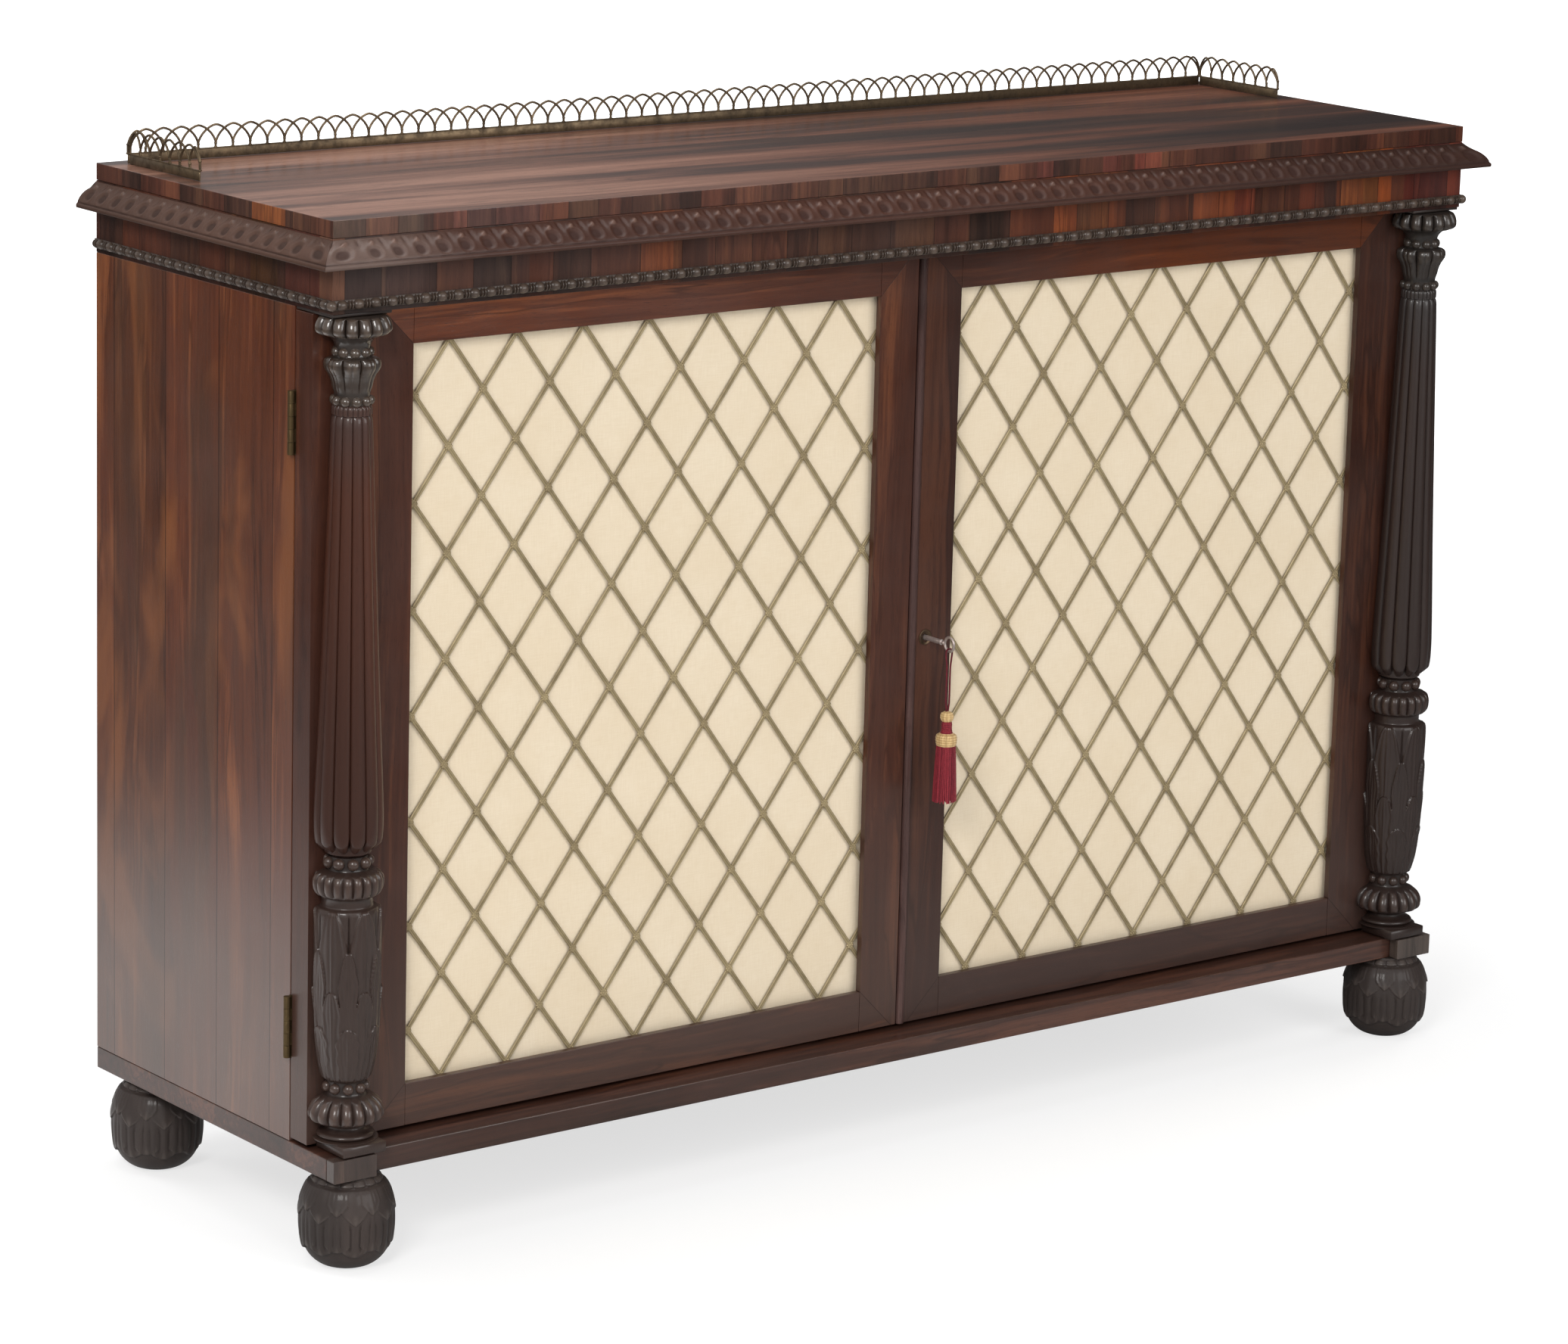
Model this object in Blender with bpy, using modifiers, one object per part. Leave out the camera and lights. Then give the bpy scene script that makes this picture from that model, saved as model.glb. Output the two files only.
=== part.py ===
"""Side cabinet with a low pierced brass gallery, two grille doors between
turned columns, and four bun feet.

Units are metres, +Z up. The origin is on the floor, under the middle of the
whole cabinet. -Y is the front. Each object is one piece of the cabinet; each
empty is a moving body and stands on the axis of its joint.
"""

import math

import bmesh
import bpy
from mathutils import Matrix, Vector

# ---------------------------------------------------------------- dimensions
TOP_W = 1.300            # width of the top board and of the case
TOP_D = 0.381            # depth of the top board, front edge to back edge
HEIGHT = 0.912           # floor to the upper face of the top board
GAP = 0.0003             # clearance between pieces that touch

SLAB_T = 0.015           # top board
GADROON_H = 0.0235       # carved moulding under the top board
GADROON_OUT = 0.021
FRIEZE_H = 0.0637        # frieze boards, from the top board to the soffit
BOARD_T = 0.020          # side panels, frieze boards and base board
BEAD_DROP = 0.0665       # small bead under the frieze, below the upper face
BEAD_H = 0.009
BEAD_OUT = 0.006
SOFFIT_T = 0.018

BASE_BOTTOM = 0.0826     # underside of the base board
BASE_TOP = 0.1024
BASE_FRONT = -0.002      # front edge of the base board, from the front of the top
BLOCK_FRONT = -0.014     # front of the plinth blocks
BLOCK_W = 0.044
PLINTH_TOP = 0.1128      # top of the square plinth at the foot of each column

DOOR_TOP = 0.830
DOOR_BOTTOM = 0.106
DOOR_FRONT = 0.0295      # front plane of the doors, behind the front of the top
DOOR_T = 0.026
CASE_FRONT = 0.057       # front edges of the side panels
MEETING_GAP = 0.0008     # half of the gap between the doors
OPEN_OUT = 0.549         # outer edge of each grille opening, from the middle
OPEN_IN_L = 0.044
OPEN_IN_R = 0.050
OPEN_TOP = 0.7965
OPEN_BOTTOM = 0.1441
REBATE = 0.007           # rebate behind each opening
LIP = 0.0065             # thickness of wood in front of the rebate
GRILLE_T = 0.0024
BAR_W = 0.005
NODE_X = 0.03505         # half the width of a diamond of the grille
NODE_Z = 0.04675         # half the height
CLOTH_T = 0.006

COLUMN_X = 0.6184        # column axis, from the middle
COLUMN_Y = 0.0174        # column axis, behind the front of the top
FOOT_R = 0.0423
FOOT_Y = 0.0140
FOOT_BACK_Y = 0.3280

PIVOT_X = 0.6535         # door pivots, outside the case
PIVOT_Y = 0.05625
LEAF_H = 0.055
HINGE_Z = (0.734, 0.206)
KNUCKLE_R = 0.0031
PIN_R = 0.0012

KEY_X = 0.0198
KEY_Z = 0.474
BOW_Y = -0.0060
BOW_R = 0.0065
BOW_WIRE = 0.0013
BOLT_THROW = 0.008       # travel of the flush bolts
LOCK_THROW = 0.0080      # travel of the lock's bolt
CORD_D = 0.0017

GALLERY_H = 0.032
GALLERY_T = 0.002
GALLERY_X = 0.630
GALLERY_Y = 0.361
GALLERY_FRONT = 0.241
ARCH_PITCH = 0.0150

SHELF_Z = 0.455
SHELF_T = 0.016

# The front of the feet and the back of the top board bound the cabinet, and
# the origin lies half way between them.
FRONT_MOST = FOOT_Y - FOOT_R
Y0 = -(FRONT_MOST + TOP_D) / 2
HALF = TOP_W / 2
BACK_FACE = TOP_D

# ------------------------------------------------------------------ clearing
for old in list(bpy.data.objects):
    bpy.data.objects.remove(old, do_unlink=True)
bpy.context.scene.unit_settings.system = "METRIC"
bpy.context.scene.unit_settings.scale_length = 1.0

parts = bpy.data.collections.new("side_cabinet")
cutters = bpy.data.collections.new("cutters")
cutters.hide_render = True
bpy.context.scene.collection.children.link(parts)
bpy.context.scene.collection.children.link(cutters)


# ----------------------------------------------------------------- materials
def material(name, colour, roughness, metallic=0.0):
    made = bpy.data.materials.new(name)
    made.use_nodes = True
    shader = made.node_tree.nodes["Principled BSDF"]
    shader.inputs["Base Color"].default_value = (*colour, 1.0)
    shader.inputs["Roughness"].default_value = roughness
    shader.inputs["Metallic"].default_value = metallic
    made.diffuse_color = (*colour, 1.0)
    return made


ROSEWOOD = ((0.150, 0.045, 0.022), 0.28)
CROSSBAND = ((0.175, 0.055, 0.025), 0.26)
CARVED = ((0.060, 0.026, 0.016), 0.38)
PINE = ((0.360, 0.230, 0.120), 0.62)
BRASS = ((0.600, 0.440, 0.190), 0.34, 1.0)
OLD_BRASS = ((0.430, 0.330, 0.160), 0.45, 1.0)
STEEL = ((0.300, 0.290, 0.270), 0.42, 1.0)
CREAM = ((0.790, 0.680, 0.490), 0.90)
BURGUNDY = ((0.210, 0.018, 0.030), 0.85)


# -------------------------------------------------------------------- bodies
def body(name, location, parent=None):
    """An empty on a joint's axis, which the pieces of one moving body hang from."""
    empty = bpy.data.objects.new(name, None)
    empty.empty_display_size = 0.03
    parts.objects.link(empty)
    empty["world"] = tuple(location)
    if parent is not None:
        empty.parent = parent
        location = Vector(location) - Vector(parent["world"])
    empty.location = location
    return empty


left_door = body("left_door", (-PIVOT_X, Y0 + PIVOT_Y, 0.468))
right_door = body("right_door", (PIVOT_X, Y0 + PIVOT_Y, 0.468))
key_body = body("key_turn", (KEY_X, Y0 + BOW_Y, KEY_Z), right_door)
tassel_body = body("tassel_hang", (KEY_X, Y0 + BOW_Y, KEY_Z - BOW_R), key_body)
lock_body = body("lock_throw", (KEY_X, Y0 + 0.049, KEY_Z + 0.013), right_door)
top_bolt_body = body("top_bolt_slide", (-0.0045, Y0 + 0.042, DOOR_TOP), left_door)
bottom_bolt_body = body(
    "bottom_bolt_slide", (-0.0045, Y0 + 0.042, DOOR_BOTTOM), left_door
)


# ------------------------------------------------------------------- helpers
def add(name, mesh, where, finish, parent=None):
    """Puts a mesh in the cabinet, with its own material, at a world place."""
    obj = bpy.data.objects.new(name, mesh)
    parts.objects.link(obj)
    mesh.materials.append(material(name, *finish))
    where = Vector(where)
    if parent is not None:
        obj.parent = parent
        where = where - Vector(parent["world"])
    obj.location = where
    return obj


def cube_mesh(name, size):
    bm = bmesh.new()
    bmesh.ops.create_cube(bm, size=1.0)
    bmesh.ops.scale(bm, vec=size, verts=bm.verts)
    mesh = bpy.data.meshes.new(name)
    bm.to_mesh(mesh)
    bm.free()
    return mesh


def box(name, lo, hi, finish, parent=None):
    """A board between two corners; y is measured from the front of the top."""
    size = [b - a for a, b in zip(lo, hi)]
    middle = [(a + b) / 2 for a, b in zip(lo, hi)]
    middle[1] += Y0
    return add(name, cube_mesh(name, size), middle, finish, parent)


def cut_box(target, lo, hi, mode="DIFFERENCE"):
    """Cuts a box out of a piece, or joins one to it."""
    size = [b - a for a, b in zip(lo, hi)]
    middle = [(a + b) / 2 for a, b in zip(lo, hi)]
    middle[1] += Y0
    tool = bpy.data.objects.new(
        target.name + ".tool", cube_mesh(target.name + ".tool", size)
    )
    tool.location = middle
    return boolean(target, tool, mode)


def boolean(target, tool, mode="DIFFERENCE"):
    cutters.objects.link(tool)
    tool.hide_render = True
    tool.display_type = "WIRE"
    modifier = target.modifiers.new(mode.lower(), "BOOLEAN")
    modifier.operation = mode
    modifier.solver = "EXACT"
    modifier.object = tool
    return tool


def cylinder_mesh(name, radius, length, axis, sides=16):
    bm = bmesh.new()
    bmesh.ops.create_cone(
        bm,
        cap_ends=True,
        segments=sides,
        radius1=radius,
        radius2=radius,
        depth=length,
    )
    if axis == "X":
        bmesh.ops.rotate(bm, matrix=Matrix.Rotation(math.pi / 2, 3, "Y"), verts=bm.verts)
    if axis == "Y":
        bmesh.ops.rotate(bm, matrix=Matrix.Rotation(math.pi / 2, 3, "X"), verts=bm.verts)
    mesh = bpy.data.meshes.new(name)
    bm.to_mesh(mesh)
    bm.free()
    return mesh


def cylinder_tool(target, radius, middle, length, axis, mode="DIFFERENCE", sides=16):
    tool = bpy.data.objects.new(
        target.name + ".round", cylinder_mesh(target.name + ".round", radius, length, axis, sides)
    )
    tool.location = (middle[0], middle[1] + Y0, middle[2])
    return boolean(target, tool, mode)


def turned(name, profile, where, finish, parent=None, steps=16):
    """A turned piece: (radius, height) points from top to bottom, swept round Z."""
    bm = bmesh.new()
    points = [bm.verts.new((r, 0.0, z)) for r, z in profile]
    for a, b in zip(points, points[1:]):
        bm.edges.new((a, b))
    mesh = bpy.data.meshes.new(name)
    bm.to_mesh(mesh)
    bm.free()
    obj = add(name, mesh, where, finish, parent)
    screw = obj.modifiers.new("turning", "SCREW")
    screw.axis = "Z"
    screw.angle = math.tau
    screw.steps = steps
    screw.render_steps = steps
    screw.use_merge_vertices = True
    screw.merge_threshold = 0.00005
    screw.use_smooth_shade = True
    return obj


def plate_mesh(name, outlines, thickness):
    """A flat plate in the local XY plane: the first outline less the others."""
    curve = bpy.data.curves.new(name, "CURVE")
    curve.dimensions = "2D"
    curve.fill_mode = "BOTH"
    curve.extrude = thickness / 2
    for outline in outlines:
        spline = curve.splines.new("POLY")
        spline.points.add(len(outline) - 1)
        for point, (x, y) in zip(spline.points, outline):
            point.co = (x, y, 0.0, 1.0)
        spline.use_cyclic_u = True
    drawn = bpy.data.objects.new(name + ".outline", curve)
    parts.objects.link(drawn)
    graph = bpy.context.evaluated_depsgraph_get()
    mesh = bpy.data.meshes.new_from_object(drawn.evaluated_get(graph))
    bpy.data.objects.remove(drawn, do_unlink=True)
    bm = bmesh.new()
    bm.from_mesh(mesh)
    bmesh.ops.remove_doubles(bm, verts=bm.verts, dist=0.00002)
    bmesh.ops.recalc_face_normals(bm, faces=bm.faces)
    bm.to_mesh(mesh)
    bm.free()
    mesh.name = name
    return mesh


def turn_mesh(mesh, matrix):
    mesh.transform(matrix)
    mesh.update()
    return mesh


def mitred(mesh, planes):
    """Trims a length of moulding with planes through a point, keeping the side away from each normal."""
    bm = bmesh.new()
    bm.from_mesh(mesh)
    for point, normal in planes:
        cut = bmesh.ops.bisect_plane(
            bm,
            geom=bm.verts[:] + bm.edges[:] + bm.faces[:],
            plane_co=point,
            plane_no=normal,
            clear_outer=True,
            dist=0.000001,
        )
        edges = [e for e in cut["geom_cut"] if isinstance(e, bmesh.types.BMEdge)]
        bmesh.ops.holes_fill(bm, edges=edges, sides=0)
    bmesh.ops.recalc_face_normals(bm, faces=bm.faces)
    bm.to_mesh(mesh)
    bm.free()
    return mesh


def mouldings(stem, profile, finish):
    """A moulding along the front and both sides of the case, mitred at the front corners.

    The profile holds (projection, height) points; projection is from the case face.
    """
    # Along X on the front: the profile's projection is towards -Y.
    half_length = HALF + 0.05
    front = plate_mesh(stem + "_front", [profile], 2 * half_length)
    # local (x, y, z) -> (z, -x, y)
    front = turn_mesh(front, Matrix(((0, 0, 1, 0), (-1, 0, 0, 0), (0, 1, 0, 0), (0, 0, 0, 1))))
    s = GAP / 2
    front = mitred(
        front,
        [
            ((HALF - s, 0, 0), (1, 1, 0)),
            ((-HALF + s, 0, 0), (-1, 1, 0)),
        ],
    )
    add(stem + "_front", front, (0, Y0 - GAP, 0), finish)
    for side, word in ((-1, "left"), (1, "right")):
        name = f"{stem}_{word}"
        run = plate_mesh(name, [profile], 2 * TOP_D + 0.1)
        # local (x, y, z) -> (side * x, z, y)
        run = turn_mesh(run, Matrix(((side, 0, 0, 0), (0, 0, 1, 0), (0, 1, 0, 0), (0, 0, 0, 1))))
        run = mitred(
            run,
            [
                ((0, -GAP - s, 0), (-side, -1, 0)),
                ((0, TOP_D, 0), (0, 1, 0)),
            ],
        )
        add(name, run, (side * (HALF + GAP), Y0, 0), finish)


def arc(cx, cy, rx, ry, start, end, count):
    """Points on an ellipse, between two angles in degrees."""
    return [
        (
            cx + rx * math.cos(math.radians(start + (end - start) * i / count)),
            cy + ry * math.sin(math.radians(start + (end - start) * i / count)),
        )
        for i in range(count + 1)
    ]


# ================================================================ top of case
box(
    "top_board",
    (-HALF, 0.0, HEIGHT - SLAB_T),
    (HALF, TOP_D, HEIGHT),
    ROSEWOOD,
)

slab_under = HEIGHT - SLAB_T - GAP
frieze_bottom = slab_under - FRIEZE_H
box("frieze_front", (-HALF, 0.0, frieze_bottom), (HALF, BOARD_T, slab_under), CROSSBAND)
box(
    "frieze_left",
    (-HALF, BOARD_T + GAP, frieze_bottom),
    (-HALF + BOARD_T, TOP_D, slab_under),
    CROSSBAND,
)
box(
    "frieze_right",
    (HALF - BOARD_T, BOARD_T + GAP, frieze_bottom),
    (HALF, TOP_D, slab_under),
    CROSSBAND,
)

# Gadrooned ovolo under the top board: a flat back, a soft bulge low down.
gadroon_top = slab_under
gadroon_mid = gadroon_top - GADROON_H * 0.62
gadroon_profile = (
    [(0.0, gadroon_top - GADROON_H), (0.0, gadroon_top)]
    + arc(0.009, gadroon_mid, GADROON_OUT - 0.009, GADROON_H * 0.62, 90, 0, 4)
    + arc(0.009, gadroon_mid, GADROON_OUT - 0.009, GADROON_H * 0.38, 0, -90, 3)[1:]
)
mouldings("gadroon", gadroon_profile, CARVED)

bead_middle = HEIGHT - BEAD_DROP - BEAD_H / 2
bead_profile = [(0.0, bead_middle - BEAD_H / 2), (0.0, bead_middle + BEAD_H / 2)] + arc(
    0.0015, bead_middle, BEAD_OUT - 0.0015, BEAD_H / 2, 90, -90, 5
)
mouldings("bead", bead_profile, CARVED)

soffit = box(
    "soffit_board",
    (-HALF + BOARD_T + GAP, BOARD_T + GAP, frieze_bottom),
    (HALF - BOARD_T - GAP, TOP_D - 0.010 - GAP, frieze_bottom + SOFFIT_T),
    PINE,
)

# ==================================================================== carcase
side_top = frieze_bottom - GAP
side_bottom = BASE_TOP + GAP
sides = {}
for side, word in ((-1, "left"), (1, "right")):
    inner, outer = side * (HALF - BOARD_T), side * HALF
    sides[word] = box(
        f"side_panel_{word}",
        (min(inner, outer), CASE_FRONT, side_bottom),
        (max(inner, outer), BACK_FACE, side_top),
        ROSEWOOD,
    )
inside = HALF - BOARD_T - GAP
box(
    "back_panel",
    (-inside, BACK_FACE - 0.010, side_bottom),
    (inside, BACK_FACE, slab_under),
    PINE,
)
box(
    "bottom_board",
    (-inside, CASE_FRONT, side_bottom),
    (inside, BACK_FACE - 0.010 - GAP, side_bottom + 0.018),
    PINE,
)
box(
    "shelf",
    (-inside, CASE_FRONT + 0.020, SHELF_Z),
    (inside, BACK_FACE - 0.010 - GAP, SHELF_Z + SHELF_T),
    PINE,
)
for side, word in ((-1, "left"), (1, "right")):
    inner, outer = side * (inside - 0.016), side * inside
    box(
        f"shelf_bearer_{word}",
        (min(inner, outer), CASE_FRONT + 0.025, SHELF_Z - GAP - 0.022),
        (max(inner, outer), BACK_FACE - 0.012, SHELF_Z - GAP),
        PINE,
    )

base = box(
    "base_board",
    (-HALF, BASE_FRONT, BASE_BOTTOM),
    (HALF, TOP_D, BASE_TOP),
    ROSEWOOD,
)
for side, word in ((-1, "left"), (1, "right")):
    inner, outer = side * (HALF - BLOCK_W), side * HALF
    box(
        f"plinth_block_{word}",
        (min(inner, outer), BLOCK_FRONT, BASE_BOTTOM),
        (max(inner, outer), BASE_FRONT - GAP, BASE_TOP),
        CARVED,
    )

# ======================================================================= feet
foot_top = BASE_BOTTOM - GAP
foot_profile = [
    (0.0, foot_top),
    (0.0270, foot_top),
    (0.0285, 0.0760),
    (0.0350, 0.0700),
    (0.0395, 0.0610),
    (FOOT_R, 0.0490),
    (FOOT_R, 0.0340),
    (0.0385, 0.0175),
    (0.0300, 0.0070),
    (0.0190, 0.0),
    (0.0, 0.0),
]
for word, x, y in (
    ("front_left", -COLUMN_X, FOOT_Y),
    ("front_right", COLUMN_X, FOOT_Y),
    ("back_left", -COLUMN_X, FOOT_BACK_Y),
    ("back_right", COLUMN_X, FOOT_BACK_Y),
):
    turned(f"foot_{word}", foot_profile, (x, Y0 + y, 0.0), CARVED)


# ==================================================================== gallery
def arcade(length, height):
    """A pierced arcade: a rectangle less one pointed opening for each bay."""
    bays = round((length - 0.004) / ARCH_PITCH)
    pitch = (length - 0.004) / bays
    outlines = [[(0.0, 0.0), (length, 0.0), (length, height), (0.0, height)]]
    for i in range(bays):
        middle = 0.002 + (i + 0.5) * pitch
        half = pitch * 0.36
        outlines.append(
            [
                (middle - half, 0.011),
                (middle + half, 0.011),
                (middle + half * 0.55, height - 0.006),
                (middle - half * 0.55, height - 0.006),
            ]
        )
    return outlines


gallery_z = HEIGHT + GAP
back_run = plate_mesh("gallery_back", arcade(2 * GALLERY_X, GALLERY_H), GALLERY_T)
# local (x, y, z) -> (x, -z, y)
back_run = turn_mesh(back_run, Matrix(((1, 0, 0, 0), (0, 0, -1, 0), (0, 1, 0, 0), (0, 0, 0, 1))))
add("gallery_back", back_run, (-GALLERY_X, Y0 + GALLERY_Y, gallery_z), BRASS)
return_length = GALLERY_Y - GALLERY_T / 2 - GAP - GALLERY_FRONT
for side, word in ((-1, "left"), (1, "right")):
    run = plate_mesh(f"gallery_{word}", arcade(return_length, GALLERY_H), GALLERY_T)
    # local (x, y, z) -> (z, x, y)
    run = turn_mesh(run, Matrix(((0, 0, 1, 0), (1, 0, 0, 0), (0, 1, 0, 0), (0, 0, 0, 1))))
    add(
        f"gallery_{word}",
        run,
        (side * (GALLERY_X - GALLERY_T / 2), Y0 + GALLERY_FRONT, gallery_z),
        BRASS,
    )


# ====================================================================== doors
def clipped(outline, lo, hi):
    """The part of a convex outline inside a rectangle."""
    for axis, limit, keep_above in (
        (0, lo[0], True),
        (0, hi[0], False),
        (1, lo[1], True),
        (1, hi[1], False),
    ):
        kept = []
        for i, here in enumerate(outline):
            before = outline[i - 1]
            inside_here = (here[axis] >= limit) == keep_above
            inside_before = (before[axis] >= limit) == keep_above
            if inside_here != inside_before:
                t = (limit - before[axis]) / (here[axis] - before[axis])
                kept.append(tuple(p + t * (q - p) for p, q in zip(before, here)))
            if inside_here:
                kept.append(here)
        outline = kept
        if len(outline) < 3:
            return []
    return outline


def outline_area(outline):
    return abs(
        sum(a[0] * b[1] - b[0] * a[1] for a, b in zip(outline, outline[1:] + outline[:1]))
    ) / 2


def lattice(lo, hi, first, margin):
    """A plate between two corners, less the diamonds between its crossing bars."""
    scale = 1 - (BAR_W / 2) / (NODE_X * NODE_Z / math.hypot(NODE_X, NODE_Z))
    a, b = NODE_X * scale, NODE_Z * scale
    outlines = [[(lo[0], lo[1]), (hi[0], lo[1]), (hi[0], hi[1]), (lo[0], hi[1])]]
    window_lo = (lo[0] + margin, lo[1] + margin)
    window_hi = (hi[0] - margin, hi[1] - margin)
    for i in range(-2, 18):
        for j in range(-2, 18):
            if (i + j) % 2:
                continue
            x, z = first[0] + i * NODE_X, first[1] - j * NODE_Z
            diamond = [(x - a, z), (x, z - b), (x + a, z), (x, z + b)]
            hole = clipped(diamond, window_lo, window_hi)
            if hole and outline_area(hole) > 2.0e-5:
                outlines.append(hole)
    return outlines


def door(word, side, open_in, parent):
    """A framed door: two stiles, two rails, a brass grille and a cloth panel behind it."""
    back = DOOR_FRONT + DOOR_T

    def span(a, b):
        return (min(side * a, side * b), max(side * a, side * b))

    def piece(name, a, b, z0, z1, finish=ROSEWOOD, y0=DOOR_FRONT, y1=back):
        x0, x1 = span(a, b)
        return box(name, (x0, y0, z0), (x1, y1, z1), finish, parent)

    hinge_stile = piece(f"{word}_hinge_stile", OPEN_OUT, HALF, DOOR_BOTTOM, DOOR_TOP)
    meeting_stile = piece(
        f"{word}_meeting_stile", MEETING_GAP, open_in, DOOR_BOTTOM, DOOR_TOP
    )
    top_rail = piece(
        f"{word}_top_rail", open_in + GAP, OPEN_OUT - GAP, OPEN_TOP, DOOR_TOP
    )
    bottom_rail = piece(
        f"{word}_bottom_rail", open_in + GAP, OPEN_OUT - GAP, DOOR_BOTTOM, OPEN_BOTTOM
    )
    x0, x1 = span(open_in - REBATE, OPEN_OUT + REBATE)
    for member in (hinge_stile, meeting_stile, top_rail, bottom_rail):
        cut_box(
            member,
            (x0, DOOR_FRONT + LIP, OPEN_BOTTOM - REBATE),
            (x1, back + 0.01, OPEN_TOP + REBATE),
        )

    # The grille lies in the rebate, against the wood in front of it.
    grille_lo = (x0 + GAP, OPEN_BOTTOM - REBATE + GAP)
    grille_hi = (x1 - GAP, OPEN_TOP + REBATE - GAP)
    outer_node = -0.5445 if side < 0 else 0.0555
    outlines = lattice(grille_lo, grille_hi, (outer_node, 0.7964), REBATE + 0.0005)
    middle = ((x0 + x1) / 2, (OPEN_TOP + OPEN_BOTTOM) / 2)
    outlines = [[(x - middle[0], z - middle[1]) for x, z in line] for line in outlines]
    mesh = plate_mesh(f"{word}_grille", outlines, GRILLE_T)
    mesh = turn_mesh(mesh, Matrix(((1, 0, 0, 0), (0, 0, -1, 0), (0, 1, 0, 0), (0, 0, 0, 1))))
    grille_y = DOOR_FRONT + LIP + GAP + GRILLE_T / 2
    add(
        f"{word}_grille",
        mesh,
        (middle[0], Y0 + grille_y, middle[1]),
        OLD_BRASS,
        parent,
    )
    cloth_y = grille_y + GRILLE_T / 2 + GAP
    box(
        f"{word}_cloth_panel",
        (grille_lo[0], cloth_y, grille_lo[1]),
        (grille_hi[0], cloth_y + CLOTH_T, grille_hi[1]),
        CREAM,
        parent,
    )
    return hinge_stile, meeting_stile


left_hinge_stile, left_meeting_stile = door("left", -1, OPEN_IN_L, left_door)
right_hinge_stile, right_meeting_stile = door("right", 1, OPEN_IN_R, right_door)

# A cock bead along the meeting edge of the right door, in a rabbet of its stile.
BEAD_EDGE = 0.0088
cut_box(
    right_meeting_stile,
    (-0.01, DOOR_FRONT - 0.01, DOOR_BOTTOM - 0.01),
    (BEAD_EDGE + GAP, 0.0383, DOOR_TOP + 0.01),
)
edge_outline = [(MEETING_GAP, 0.0380), (BEAD_EDGE, 0.0380)] + arc(
    (MEETING_GAP + BEAD_EDGE) / 2, 0.0300, (BEAD_EDGE - MEETING_GAP) / 2, 0.0030, 0, -180, 6
)
edge_middle = ((MEETING_GAP + BEAD_EDGE) / 2, 0.0330)
edge_mesh = plate_mesh(
    "meeting_bead",
    [[(x - edge_middle[0], y - edge_middle[1]) for x, y in edge_outline]],
    DOOR_TOP - DOOR_BOTTOM,
)
add(
    "meeting_bead",
    edge_mesh,
    (edge_middle[0], Y0 + edge_middle[1], (DOOR_TOP + DOOR_BOTTOM) / 2),
    CARVED,
    right_door,
)

# ==================================================================== columns
# Radii and heights of the turned column, from the capital down to its torus.
column_profile = [
    (0.0, 0.8297),
    (0.0250, 0.8297),
    (0.0320, 0.8265),
    (0.0336, 0.8215),
    (0.0320, 0.8165),
    (0.0240, 0.8140),
    (0.0165, 0.8110),
    (0.0160, 0.8050),
    (0.0185, 0.7990),
    (0.0185, 0.7965),
    (0.0235, 0.7930),
    (0.0235, 0.7870),
    (0.0165, 0.7780),
    (0.0160, 0.7650),
    (0.0185, 0.7610),
    (0.0200, 0.7585),
    (0.0200, 0.7545),
    (0.0175, 0.7530),
    (0.0225, 0.6500),
    (0.0285, 0.5100),
    (0.0325, 0.4150),
    (0.0330, 0.3950),
    (0.0310, 0.3780),
    (0.0240, 0.3660),
    (0.0185, 0.3620),
    (0.0185, 0.3550),
    (0.0210, 0.3500),
    (0.0320, 0.3470),
    (0.0330, 0.3400),
    (0.0310, 0.3320),
    (0.0225, 0.3290),
    (0.0225, 0.3200),
    (0.0265, 0.3190),
    (0.0320, 0.3080),
    (0.0328, 0.2700),
    (0.0320, 0.2250),
    (0.0295, 0.1870),
    (0.0230, 0.1680),
    (0.0185, 0.1640),
    (0.0185, 0.1540),
    (0.0215, 0.1500),
    (0.0320, 0.1475),
    (0.0336, 0.1390),
    (0.0320, 0.1300),
    (0.0180, 0.1270),
    (0.0165, 0.1210),
    (0.0230, 0.1185),
    (0.0255, 0.1155),
    (0.0240, 0.1122),
    (0.0, 0.1122),
]
for word, side, parent in (("left", -1, left_door), ("right", 1, right_door)):
    x = side * COLUMN_X
    column = turned(
        f"{word}_column", column_profile, (x, Y0 + COLUMN_Y, 0.0), CARVED, parent, steps=14
    )
    inner, outer = side * (HALF - BLOCK_W), side * HALF
    cut_box(
        column,
        (min(inner, outer), BLOCK_FRONT, BASE_TOP + 0.0011),
        (max(inner, outer), DOOR_FRONT - GAP, PLINTH_TOP),
        "UNION",
    )
    cut_box(
        column,
        (x - 0.06, DOOR_FRONT - GAP, 0.05),
        (x + 0.06, DOOR_FRONT + 0.05, 0.90),
    )


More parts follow.
